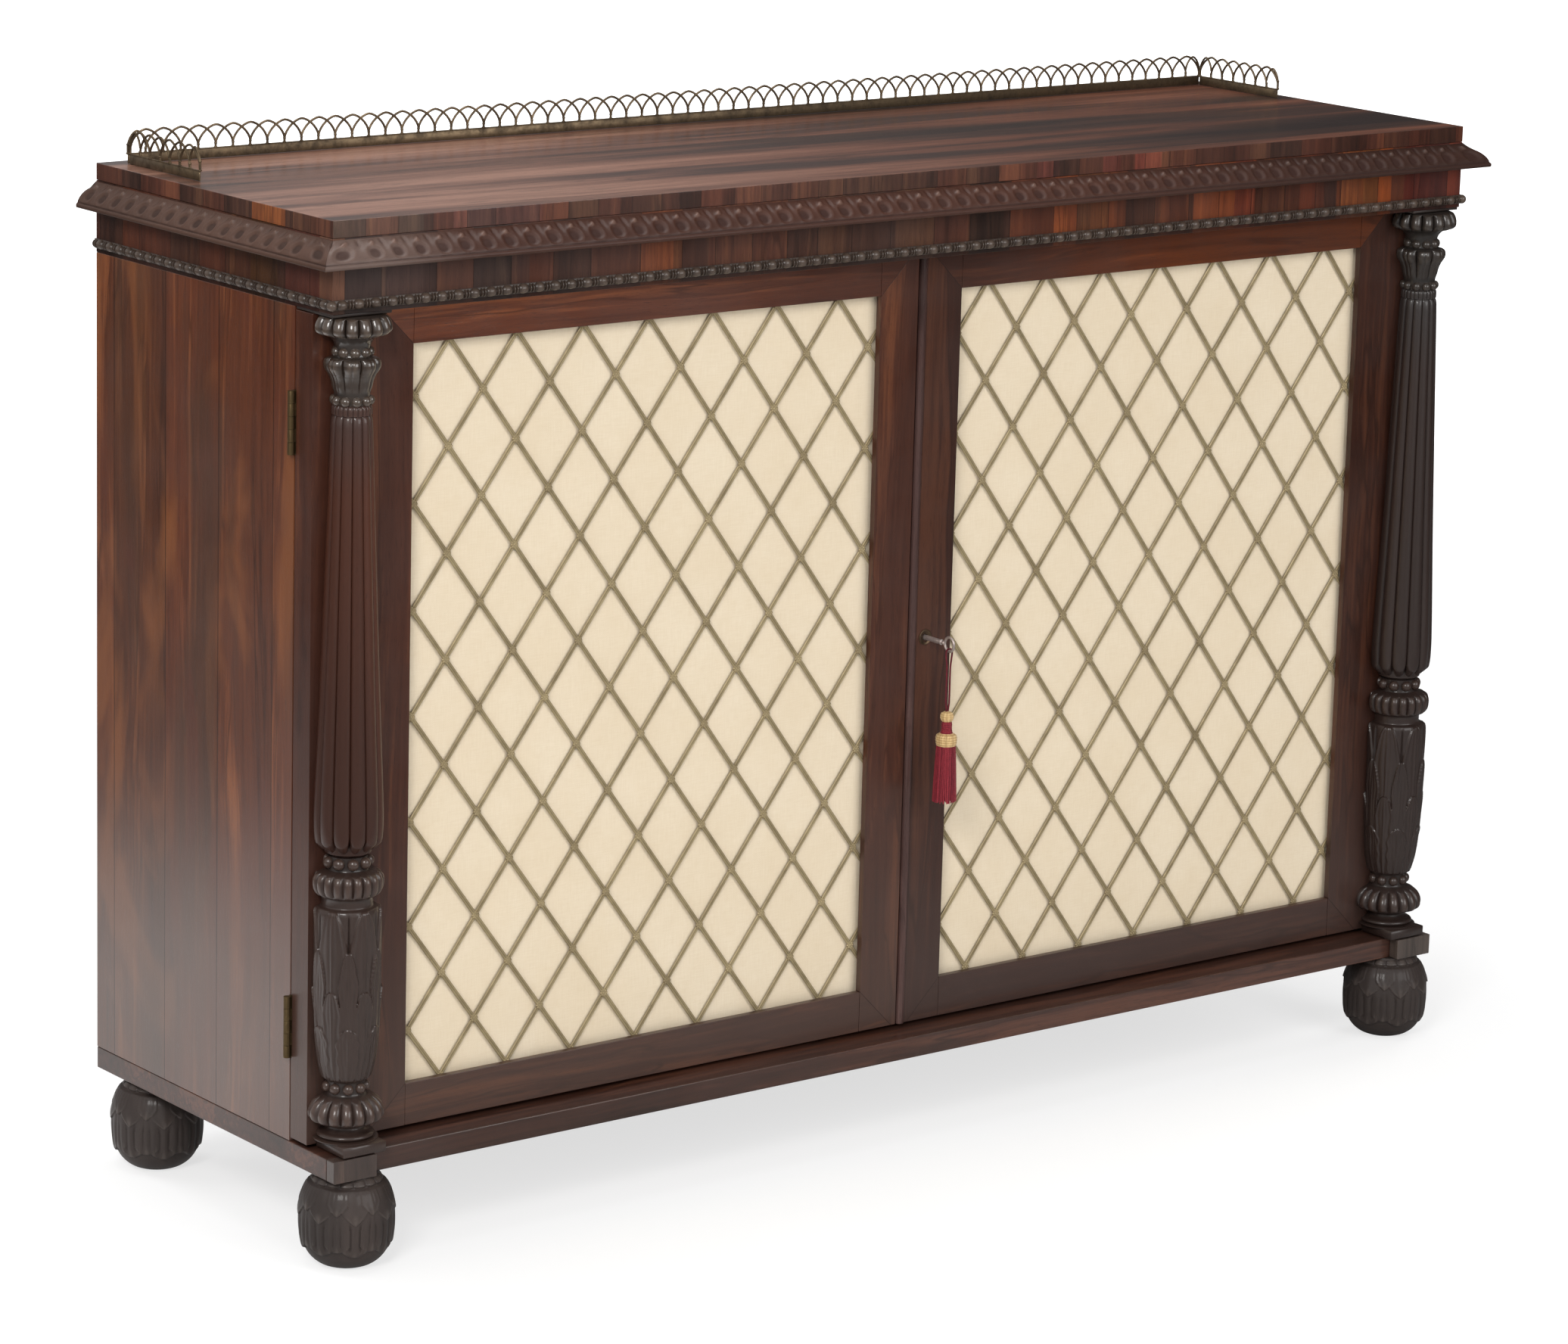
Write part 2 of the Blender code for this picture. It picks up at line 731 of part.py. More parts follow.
# ===================================================================== hinges
def butt_hinge(word, side, where, z, case, stile, parent):
    """One butt hinge: a leaf on the case with its pin, and a leaf on the door."""
    low, high = z - LEAF_H / 2, z + LEAF_H / 2
    knuckle = LEAF_H / 5
    x_in, x_out = side * (HALF - 0.019), side * (HALF - 0.0002)
    x_pin = side * PIVOT_X

    def ordered(a, b):
        return min(a, b), max(a, b)

    leaves = []
    for name, y0, y1, owner, own in (
        (f"{word}_{where}_case_leaf", 0.0565, 0.0581, None, (0, 2, 4)),
        (f"{word}_{where}_door_leaf", 0.0544, 0.0560, parent, (1, 3)),
    ):
        a, b = ordered(x_in, x_out)
        leaf = box(name, (a, y0, low), (b, y1, high), BRASS, owner)
        a, b = ordered(x_pin, x_in)
        for k in own:
            z0, z1 = low + k * knuckle + GAP / 2, low + (k + 1) * knuckle - GAP / 2
            cylinder_tool(
                leaf,
                KNUCKLE_R,
                (x_pin, PIVOT_Y, (z0 + z1) / 2),
                z1 - z0,
                "Z",
                "UNION",
                12,
            )
            cut_box(leaf, (a, y0, z0), (b, y1, z1), "UNION")
        if owner is None:
            cylinder_tool(leaf, PIN_R, (x_pin, PIVOT_Y, z), LEAF_H - 0.002, "Z", "UNION", 10)
        else:
            cylinder_tool(
                leaf, PIN_R + GAP, (x_pin, PIVOT_Y, z), LEAF_H + 0.02, "Z", "DIFFERENCE", 10
            )
        leaves.append(leaf)

    # Each leaf is let into its wood.
    a, b = ordered(x_in - side * GAP, side * (HALF + 0.01))
    cut_box(case, (a, CASE_FRONT - 0.01, low - GAP), (b, 0.0581 + GAP, high + GAP))
    cut_box(stile, (a, 0.0544 - GAP, low - GAP), (b, CASE_FRONT + 0.01, high + GAP))
    return leaves


for word, side, stile, parent in (
    ("left", -1, left_hinge_stile, left_door),
    ("right", 1, right_hinge_stile, right_door),
):
    for where, z in zip(("upper", "lower"), HINGE_Z):
        butt_hinge(word, side, where, z, sides[word], stile, parent)

# ================================================================ flush bolts
# Two brass bolts in the meeting edge of the left door, drawn at rest. Each one
# slides 8 mm, into the soffit above or into the base board below.
bolt_x = (-0.0076, -0.0014)
bolt_y = (0.0386, 0.0454)
for name, low, high, slot_low, slot_high, parent in (
    (
        "top_flush_bolt",
        DOOR_TOP - 0.0720,
        DOOR_TOP - 0.0005,
        DOOR_TOP - 0.0725,
        DOOR_TOP + 0.01,
        top_bolt_body,
    ),
    (
        "bottom_flush_bolt",
        DOOR_BOTTOM + 0.0005,
        DOOR_BOTTOM + 0.0720,
        DOOR_BOTTOM - 0.01,
        DOOR_BOTTOM + 0.0725,
        bottom_bolt_body,
    ),
):
    box(name, (bolt_x[0], bolt_y[0], low), (bolt_x[1], bolt_y[1], high), BRASS, parent)
    cut_box(
        left_meeting_stile,
        (bolt_x[0] - 0.0004, bolt_y[0] - 0.0004, slot_low),
        (0.01, bolt_y[1] + 0.0004, slot_high),
    )
keeper_x = (bolt_x[0] - 0.0006, bolt_x[1] + 0.0006)
keeper_y = (bolt_y[0] - 0.0006, bolt_y[1] + 0.0006)
cut_box(
    soffit,
    (keeper_x[0], keeper_y[0], frieze_bottom - 0.01),
    (keeper_x[1], keeper_y[1], frieze_bottom + BOLT_THROW + 0.002),
)
cut_box(
    base,
    (keeper_x[0], keeper_y[0], BASE_TOP - BOLT_THROW - 0.002),
    (keeper_x[1], keeper_y[1], BASE_TOP + 0.01),
)

# ======================================================================= lock
case_lo = (0.0013, 0.0438, KEY_Z - 0.013)
case_hi = (0.0360, 0.0552, KEY_Z + 0.025)
lock_case = box("lock_case", case_lo, case_hi, BRASS, right_door)
cut_box(
    right_meeting_stile,
    (-0.01, case_lo[1] - GAP, case_lo[2] - GAP),
    (case_hi[0] + GAP, DOOR_FRONT + DOOR_T + 0.01, case_hi[2] + GAP),
)
lock_z = (KEY_Z + 0.0072, KEY_Z + 0.0188)
lock_y = (0.0465, 0.0515)
box(
    "lock_bolt",
    (0.0013, lock_y[0], lock_z[0]),
    (0.0245, lock_y[1], lock_z[1]),
    STEEL,
    lock_body,
)
cut_box(
    lock_case,
    (-0.01, lock_y[0] - 0.0004, lock_z[0] - 0.0004),
    (0.0252, lock_y[1] + 0.0004, lock_z[1] + 0.0004),
)
# The mortise in the left door that the bolt is thrown into.
cut_box(
    left_meeting_stile,
    (0.0013 - LOCK_THROW - 0.0030, lock_y[0] - 0.0006, lock_z[0] - 0.0006),
    (0.01, lock_y[1] + 0.0006, lock_z[1] + 0.0006),
)
# Keyhole and the round space that the key's bit turns in.
cylinder_tool(right_meeting_stile, 0.0031, (KEY_X, 0.036, KEY_Z), 0.040, "Y", sides=14)
cylinder_tool(lock_case, 0.0031, (KEY_X, 0.046, KEY_Z), 0.010, "Y", sides=14)
cylinder_tool(lock_case, 0.0070, (KEY_X, 0.0495, KEY_Z), 0.0076, "Y", sides=16)

escutcheon = add(
    "escutcheon",
    cylinder_mesh("escutcheon", 0.0072, 0.0009, "Y", 24),
    (KEY_X, Y0 + DOOR_FRONT - GAP - 0.00045, KEY_Z),
    BRASS,
    right_door,
)
cylinder_tool(escutcheon, 0.0031, (KEY_X, DOOR_FRONT, KEY_Z), 0.01, "Y", sides=14)

# ======================================================================== key
shank = add(
    "key",
    cylinder_mesh("key", 0.0023, 0.0530, "Y", 12),
    (KEY_X, Y0 + 0.0262, KEY_Z),
    STEEL,
    key_body,
)
bpy.ops.mesh.primitive_torus_add(
    major_segments=16,
    minor_segments=6,
    major_radius=BOW_R,
    minor_radius=BOW_WIRE,
    location=(KEY_X, Y0 + BOW_Y, KEY_Z),
    rotation=(0.0, math.pi / 2, 0.0),
)
bow = bpy.context.object
for owner in list(bow.users_collection):
    owner.objects.unlink(bow)
bow.name = "key.bow"
boolean(shank, bow, "UNION")
cut_box(
    shank,
    (KEY_X - 0.0012, 0.0463, KEY_Z - 0.0064),
    (KEY_X + 0.0012, 0.0523, KEY_Z - 0.0010),
    "UNION",
)

# ===================================================================== tassel
# The cord is one loop through the bow; both of its ends go into the knot.
KNOT_TOP = 0.4117
loop_top = KEY_Z - BOW_R + BOW_WIRE + 0.0004 + CORD_D / 2
loop_half = 0.0036


def cord_route():
    """Points on the loop, in the XZ plane: up from the knot, round the bow, and back to the knot."""
    foot_half = CORD_D / 2 + 0.0001
    centre = loop_top - loop_half
    rise = []
    for i in range(24):
        t = i / 24
        ease = t * t * (3 - 2 * t)
        rise.append((foot_half + (loop_half - foot_half) * ease, KNOT_TOP + (centre - KNOT_TOP) * t))
    right = [(x, z) for x, z in rise]
    top = [
        (loop_half * math.cos(a), centre + loop_half * math.sin(a))
        for a in (math.pi * i / 24 for i in range(25))
    ]
    left = [(-x, z) for x, z in reversed(rise)]
    return [(KEY_X + x, BOW_Y, z) for x, z in right + top + left]


def even_route(route, step):
    """The same route with its points a fixed distance apart."""
    lengths = [0.0]
    for a, b in zip(route, route[1:]):
        lengths.append(lengths[-1] + math.dist(a, b))
    total = lengths[-1]
    count = max(8, round(total / step))
    spaced = []
    for k in range(count + 1):
        want = total * k / count
        i = max(i for i in range(len(lengths)) if lengths[i] <= want + 1e-9)
        i = min(i, len(route) - 2)
        t = (want - lengths[i]) / (lengths[i + 1] - lengths[i])
        spaced.append(tuple(p + t * (q - p) for p, q in zip(route[i], route[i + 1])))
    return spaced


cord_curve = bpy.data.curves.new("tassel_cord", "CURVE")
cord_curve.dimensions = "3D"
cord_curve.bevel_depth = CORD_D / 2
cord_curve.bevel_resolution = 2
cord_curve.use_fill_caps = True
strand = cord_curve.splines.new("POLY")
cord_points = even_route(cord_route(), 0.0036)
strand.points.add(len(cord_points) - 1)
origin = (KEY_X, BOW_Y, KEY_Z - BOW_R)
for point, place in zip(strand.points, cord_points):
    point.co = (*(p - o for p, o in zip(place, origin)), 1.0)
cord_curve.materials.append(material("tassel_cord", *BURGUNDY))
cord = bpy.data.objects.new("tassel_cord", cord_curve)
parts.objects.link(cord)
cord.parent = tassel_body

tassel_profile = [
    (0.0, KNOT_TOP - GAP),
    (0.0045, KNOT_TOP - 0.0008),
    (0.0080, KNOT_TOP - 0.0050),
    (0.0080, KNOT_TOP - 0.0090),
    (0.0052, KNOT_TOP - 0.0125),
    (0.0052, KNOT_TOP - 0.0170),
    (0.0092, KNOT_TOP - 0.0230),
    (0.0092, KNOT_TOP - 0.0300),
    (0.0078, KNOT_TOP - 0.0335),
    (0.0118, KNOT_TOP - 0.0860),
    (0.0, KNOT_TOP - 0.0860),
]
turned(
    "tassel",
    tassel_profile,
    (KEY_X, Y0 + BOW_Y, 0.0),
    BURGUNDY,
    tassel_body,
    steps=14,
)

for piece in parts.objects:
    if piece.type == "MESH" and piece.name.endswith(("column", "key")):
        piece.data.shade_smooth()
        piece.data.set_sharp_from_angle(angle=math.radians(35))
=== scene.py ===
"""Side cabinet: the finish of every surface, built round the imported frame.

Metres, +Z up, the frame's own coordinates. The front looks towards -Y.
"""

import math

import bpy
import numpy as np
from mathutils import Matrix, Vector


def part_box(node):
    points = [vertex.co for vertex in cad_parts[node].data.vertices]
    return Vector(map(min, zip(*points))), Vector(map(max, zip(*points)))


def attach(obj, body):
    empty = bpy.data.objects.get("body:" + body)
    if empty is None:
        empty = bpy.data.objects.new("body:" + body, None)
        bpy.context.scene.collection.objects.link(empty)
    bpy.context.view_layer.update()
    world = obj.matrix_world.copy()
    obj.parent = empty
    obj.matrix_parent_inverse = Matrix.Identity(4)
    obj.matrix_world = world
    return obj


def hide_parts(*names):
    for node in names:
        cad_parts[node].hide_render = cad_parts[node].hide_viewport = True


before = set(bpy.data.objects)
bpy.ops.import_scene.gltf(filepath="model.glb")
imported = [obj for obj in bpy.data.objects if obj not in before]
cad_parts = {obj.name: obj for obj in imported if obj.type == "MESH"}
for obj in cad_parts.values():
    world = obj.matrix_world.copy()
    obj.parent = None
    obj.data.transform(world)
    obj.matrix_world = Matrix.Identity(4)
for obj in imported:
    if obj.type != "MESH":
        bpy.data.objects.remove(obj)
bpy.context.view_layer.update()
rng = np.random.default_rng(1837)
TAU = 2.0 * math.pi

# ------------------------------------------------------------ sizes, in metres
Y0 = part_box("top_board")[0].y        # front edge of the top board
HALF = 0.650
TOP = 0.912                          # upper face of the top board
FRIEZE_TOP = 0.8967
DOOR_FRONT = Y0 + 0.0295
COLUMN_X = 0.6184
COLUMN_Y = Y0 + 0.0174
FOOT_R = 0.0423
KEY_X = 0.0198
KEY_Z = 0.474
BOW_Y = Y0 - 0.0060
BOW_R = 0.0065
BOW_WIRE = 0.0013
CORD_D = 0.0017
KNOT_TOP = 0.4117
NODE_X = 0.03505
NODE_Z = 0.04675
NODE_TOP = 0.7964
PAD = 0.0003


# ---------------------------------------------------------------------- camera
def place_camera():
    """The camera of the photograph, from a fit to its measured corners."""
    a, e, r = (math.radians(v) for v in (-37.9603, 12.3839, 1.5486))
    away = Vector((math.sin(a) * math.cos(e), -math.cos(a) * math.cos(e), math.sin(e)))
    right = Vector((math.cos(a), math.sin(a), 0.0))
    up = away.cross(right)
    x = right * math.cos(r) + up * math.sin(r)
    y = up * math.cos(r) - right * math.sin(r)
    data = bpy.data.cameras.new("camera")
    data.sensor_fit = "HORIZONTAL"
    data.sensor_width = 36.0
    data.lens = 7084.98 / 2072 * 36.0
    data.shift_x = 0.0
    data.shift_y = -124.0 / 2072
    data.clip_end = 50.0
    made = bpy.data.objects.new("camera", data)
    bpy.context.scene.collection.objects.link(made)
    where = away * 5.134 + x * -0.0118 + y * 0.4919
    made.matrix_world = Matrix(
        (
            (x.x, y.x, away.x, where.x),
            (x.y, y.y, away.y, where.y),
            (x.z, y.z, away.z, where.z),
            (0, 0, 0, 1),
        )
    )
    bpy.context.scene.camera = made


place_camera()
bpy.context.scene.view_settings.view_transform = "Standard"
bpy.context.scene.view_settings.look = "None"


# ------------------------------------------------------------- mesh collecting
class Shape:
    """Collects vertices and faces, with a height value a vertex for the finish."""

    def __init__(self):
        self.points, self.faces, self.marks, self.lifts, self.tones = [], [], [], [], []
        self.count = 0

    def add(self, points, faces, mark=0, lift=0.5, tone=0.5):
        points = np.asarray(points, float).reshape(-1, 3)
        self.points.append(points)
        n = len(points)
        faces = [np.asarray(group, np.int64) for group in (faces if isinstance(faces, list) else [faces])]
        # a closed body whose faces point inwards is turned inside out
        middle = points.mean(0)
        volume = 0.0
        for group in faces:
            for k in range(1, group.shape[1] - 1):
                a, b, c = (points[group[:, q]] - middle for q in (0, k, k + 1))
                volume += float(np.einsum("ij,ij->i", a, np.cross(b, c)).sum())
        if volume < 0:
            faces = [group[:, ::-1] for group in faces]
        self.lifts.append(np.broadcast_to(np.asarray(lift, float).ravel(), (n,)) if np.size(lift) in (1, n) else np.full(n, 0.5))
        self.tones.append(np.broadcast_to(np.asarray(tone, float).ravel(), (n,)) if np.size(tone) in (1, n) else np.full(n, 0.5))
        for group in faces:
            if group.size:
                self.faces.append((group + self.count, mark))
        self.count += n

    def object(self, name, materials, angle=40.0, flip=False):
        points = np.vstack(self.points)
        loops = np.concatenate([g.ravel() for g, _ in self.faces])
        sizes = np.concatenate([np.full(len(g), g.shape[1]) for g, _ in self.faces])
        marks = np.concatenate([np.full(len(g), m) for g, m in self.faces])
        starts = np.concatenate([[0], np.cumsum(sizes)[:-1]])
        mesh = bpy.data.meshes.new(name)
        mesh.vertices.add(len(points))
        mesh.vertices.foreach_set("co", points.astype(np.float32).ravel())
        mesh.loops.add(len(loops))
        mesh.loops.foreach_set("vertex_index", loops.astype(np.int32))
        mesh.polygons.add(len(sizes))
        mesh.polygons.foreach_set("loop_start", starts.astype(np.int32))
        mesh.polygons.foreach_set("material_index", marks.astype(np.int32))
        for label, values in (("lift", self.lifts), ("tone", self.tones)):
            layer = mesh.attributes.new(label, "FLOAT", "POINT")
            layer.data.foreach_set("value", np.concatenate(values).astype(np.float32))
        mesh.update(calc_edges=True)
        mesh.validate()
        mesh.shade_smooth()
        mesh.set_sharp_from_angle(angle=math.radians(angle))
        for m in materials if isinstance(materials, (list, tuple)) else [materials]:
            mesh.materials.append(m)
        made = bpy.data.objects.new(name, mesh)
        bpy.context.scene.collection.objects.link(made)
        return made


def grid_faces(rows, cols, wrap=False, flip=False, offset=0):
    """Quads of a rows by cols grid of points, closed round in its columns if wrap."""
    j = np.arange(rows - 1)[:, None]
    i = np.arange(cols if wrap else cols - 1)[None, :]
    k = (i + 1) % cols
    a, b = j * cols + i, j * cols + k
    c, d = (j + 1) * cols + k, (j + 1) * cols + i
    order = (a, b, c, d) if flip else (a, d, c, b)
    return np.stack(order, -1).reshape(-1, 4) + offset


def smooth(lo, hi, x):
    t = np.clip((x - lo) / (hi - lo), 0.0, 1.0)
    return t * t * (3.0 - 2.0 * t)


def soften(points, rounds=2):
    """Cuts the corners of a profile, which leaves its ends in place."""
    points = np.array(points, float)
    for _ in range(rounds):
        a, b = points[:-1], points[1:]
        inner = np.stack([0.75 * a + 0.25 * b, 0.25 * a + 0.75 * b], 1).reshape(-1, points.shape[1])
        points = np.vstack([points[:1], inner, points[-1:]])
    return points


def spaced(points, step):
    """Adds points so that none is further than step from the next; step may be a function of the second value."""
    out = [points[0]]
    for a, b in zip(points[:-1], points[1:]):
        limit = step((a[1] + b[1]) / 2) if callable(step) else step
        n = max(1, int(math.ceil(np.linalg.norm(b - a) / limit - 1e-6)))
        for k in range(1, n + 1):
            out.append(a + (b - a) * k / n)
    return np.array(out)


def turned(shape, centre, profile, sides, relief=None, flat=None, mark=0, close=True, tone=0.5):
    """A turned and carved body: (radius, height) from top to bottom; relief adds to the radius."""
    profile = np.asarray(profile, float)
    r, z = profile[:, 0][:, None], profile[:, 1][:, None]
    th = (np.arange(sides) / sides * TAU)[None, :]
    lift = np.full((len(profile), sides), 0.6)
    radius = np.broadcast_to(r, lift.shape).copy()
    height = np.broadcast_to(z, lift.shape).copy()
    if relief is not None:
        radius, lift = relief(radius, height, np.broadcast_to(th, lift.shape))
    x = centre[0] + radius * np.cos(th)
    y = centre[1] + radius * np.sin(th)
    if flat is not None:
        y = np.minimum(y, flat)
    points = np.stack([x, y, height + centre[2]], -1).reshape(-1, 3)
    faces = [grid_faces(len(profile), sides, wrap=True)]
    lifts = lift.ravel()
    if close:
        n = len(points)
        top = np.array([[centre[0], min(centre[1], flat) if flat is not None else centre[1], centre[2] + profile[0, 1]]])
        low = top.copy()
        low[0, 2] = centre[2] + profile[-1, 1]
        i = np.arange(sides)
        k = (i + 1) % sides
        base = (len(profile) - 1) * sides
        faces.append(np.stack([i, k, np.full(sides, n)], -1))
        faces.append(np.stack([base + k, base + i, np.full(sides, n + 1)], -1))
        points = np.vstack([points, top, low])
        lifts = np.concatenate([lifts, [0.4, 0.4]])
    shape.add(points, faces, mark, lifts, tone)


def ball(shape, centre, radii, rows=8, cols=12, mark=0, lift=0.8, basis=None, tone=0.5, flat=None):
    """A round or oval bead."""
    ph = np.linspace(0, math.pi, rows + 1)[1:-1][:, None]
    th = (np.arange(cols) / cols * TAU)[None, :]
    p = np.stack([np.sin(ph) * np.cos(th), np.sin(ph) * np.sin(th), np.cos(ph) + 0 * th], -1).reshape(-1, 3)
    p = np.vstack([p, [[0, 0, 1], [0, 0, -1]]]) * np.asarray(radii, float)
    if basis is not None:
        p = p @ np.asarray(basis, float)
    p = p + np.asarray(centre, float)
    if flat is not None:
        p[:, 1] = np.minimum(p[:, 1], flat)
    n = (rows - 1) * cols
    i = np.arange(cols)
    k = (i + 1) % cols
    last = (rows - 2) * cols
    shape.add(
        p,
        [
            grid_faces(rows - 1, cols, wrap=True),
            np.stack([i, k, np.full(cols, n)], -1),
            np.stack([last + k, last + i, np.full(cols, n + 1)], -1),
        ],
        mark,
        lift,
        tone,
    )


def ring_of(shape, centre, radius, z, count, bead, phase=0.0, rows=8, cols=12, flat=None, tall=1.0, lift=0.85):
    for k in range(count):
        a = (k + phase) / count * TAU
        where = (centre[0] + radius * math.cos(a), centre[1] + radius * math.sin(a), z)
        if flat is not None and where[1] - bead > flat:
            continue
        c, s = math.cos(a), math.sin(a)
        ball(shape, where, (bead * 0.92, bead, bead * tall), rows, cols, lift=lift, basis=((c, s, 0), (-s, c, 0), (0, 0, 1)), flat=flat)


def frames_along(path, closed=False):
    """Two directions square to the path at each of its points, turned as little as can be."""
    path = np.asarray(path, float)
    if closed:
        tangent = np.roll(path, -1, 0) - np.roll(path, 1, 0)
    else:
        tangent = np.gradient(path, axis=0)
    tangent /= np.linalg.norm(tangent, axis=1)[:, None]
    seed = np.array([0.0, 1.0, 0.0]) if abs(tangent[0][1]) < 0.9 else np.array([1.0, 0.0, 0.0])
    u = seed - tangent[0] * seed.dot(tangent[0])
    out = []
    for t in tangent:
        u = u - t * u.dot(t)
        u /= np.linalg.norm(u)
        out.append(u.copy())
    u = np.array(out)
    return u, np.cross(tangent, u)


def tube(shape, path, radius, sides=8, closed=False, mark=0, lift=0.7, tone=0.5, wide=1.0):
    """A round bar along a path; wide stretches it across its first direction."""
    path = np.asarray(path, float)
    u, v = frames_along(path, closed)
    th = (np.arange(sides) / sides * TAU)[None, :, None]
    r = np.broadcast_to(np.asarray(radius, float), (len(path),))[:, None, None]
    p = path[:, None, :] + r * (np.cos(th) * u[:, None, :] * wide + np.sin(th) * v[:, None, :])
    rows = len(path)
    p = p.reshape(-1, 3)
    if closed:
        p2 = grid_faces(rows + 1, sides, wrap=True, flip=True) % (rows * sides)
        shape.add(p, [p2], mark, lift, tone)
        return
    i = np.arange(sides)
    k = (i + 1) % sides
    n = rows * sides
    last = (rows - 1) * sides
    faces = [
        grid_faces(rows, sides, wrap=True, flip=True),
        np.stack([k, i, np.full(sides, n)], -1),
        np.stack([last + i, last + k, np.full(sides, n + 1)], -1),
    ]
    shape.add(np.vstack([p, path[:1], path[-1:]]), faces, mark, lift, tone)


def board(shape, lo, hi, edge=0.0006, mark=0, lift=0.6, tone=0.5):
    """A board with its edges taken off."""
    lo, hi = np.asarray(lo, float), np.asarray(hi, float)
    e = min(edge, *(0.45 * (hi - lo)))
    points, index = [], {}
    for c in range(8):
        s = [(c >> k) & 1 for k in range(3)]
        for axis in range(3):
            p = [0.0] * 3
            for k in range(3):
                p[k] = (hi[k] if s[k] else lo[k]) - (0 if k == axis else (e if s[k] else -e))
            index[(c, axis)] = len(points)
            points.append(p)
    middle = (lo + hi) / 2
    quads, tris = [], []

    def put(loop, target):
        pts = np.array([points[q] for q in loop])
        normal = np.cross(pts[1] - pts[0], pts[2] - pts[1])
        if normal.dot(pts.mean(0) - middle) < 0:
            loop = loop[::-1]
        target.append(loop)

    for axis in range(3):
        a, b = [k for k in range(3) if k != axis]
        for side in range(2):
            cs = [(side << axis) | (i << a) | (j << b) for i, j in ((0, 0), (1, 0), (1, 1), (0, 1))]
            put([index[(c, axis)] for c in cs], quads)
        for i in range(2):
            for j in range(2):
                c0 = (i << a) | (j << b)
                c1 = c0 | (1 << axis)
                put([index[(c0, a)], index[(c0, b)], index[(c1, b)], index[(c1, a)]], quads)
    for c in range(8):
        put([index[(c, 0)], index[(c, 1)], index[(c, 2)]], tris)
    shape.add(points, [np.array(quads), np.array(tris)], mark, lift, tone)


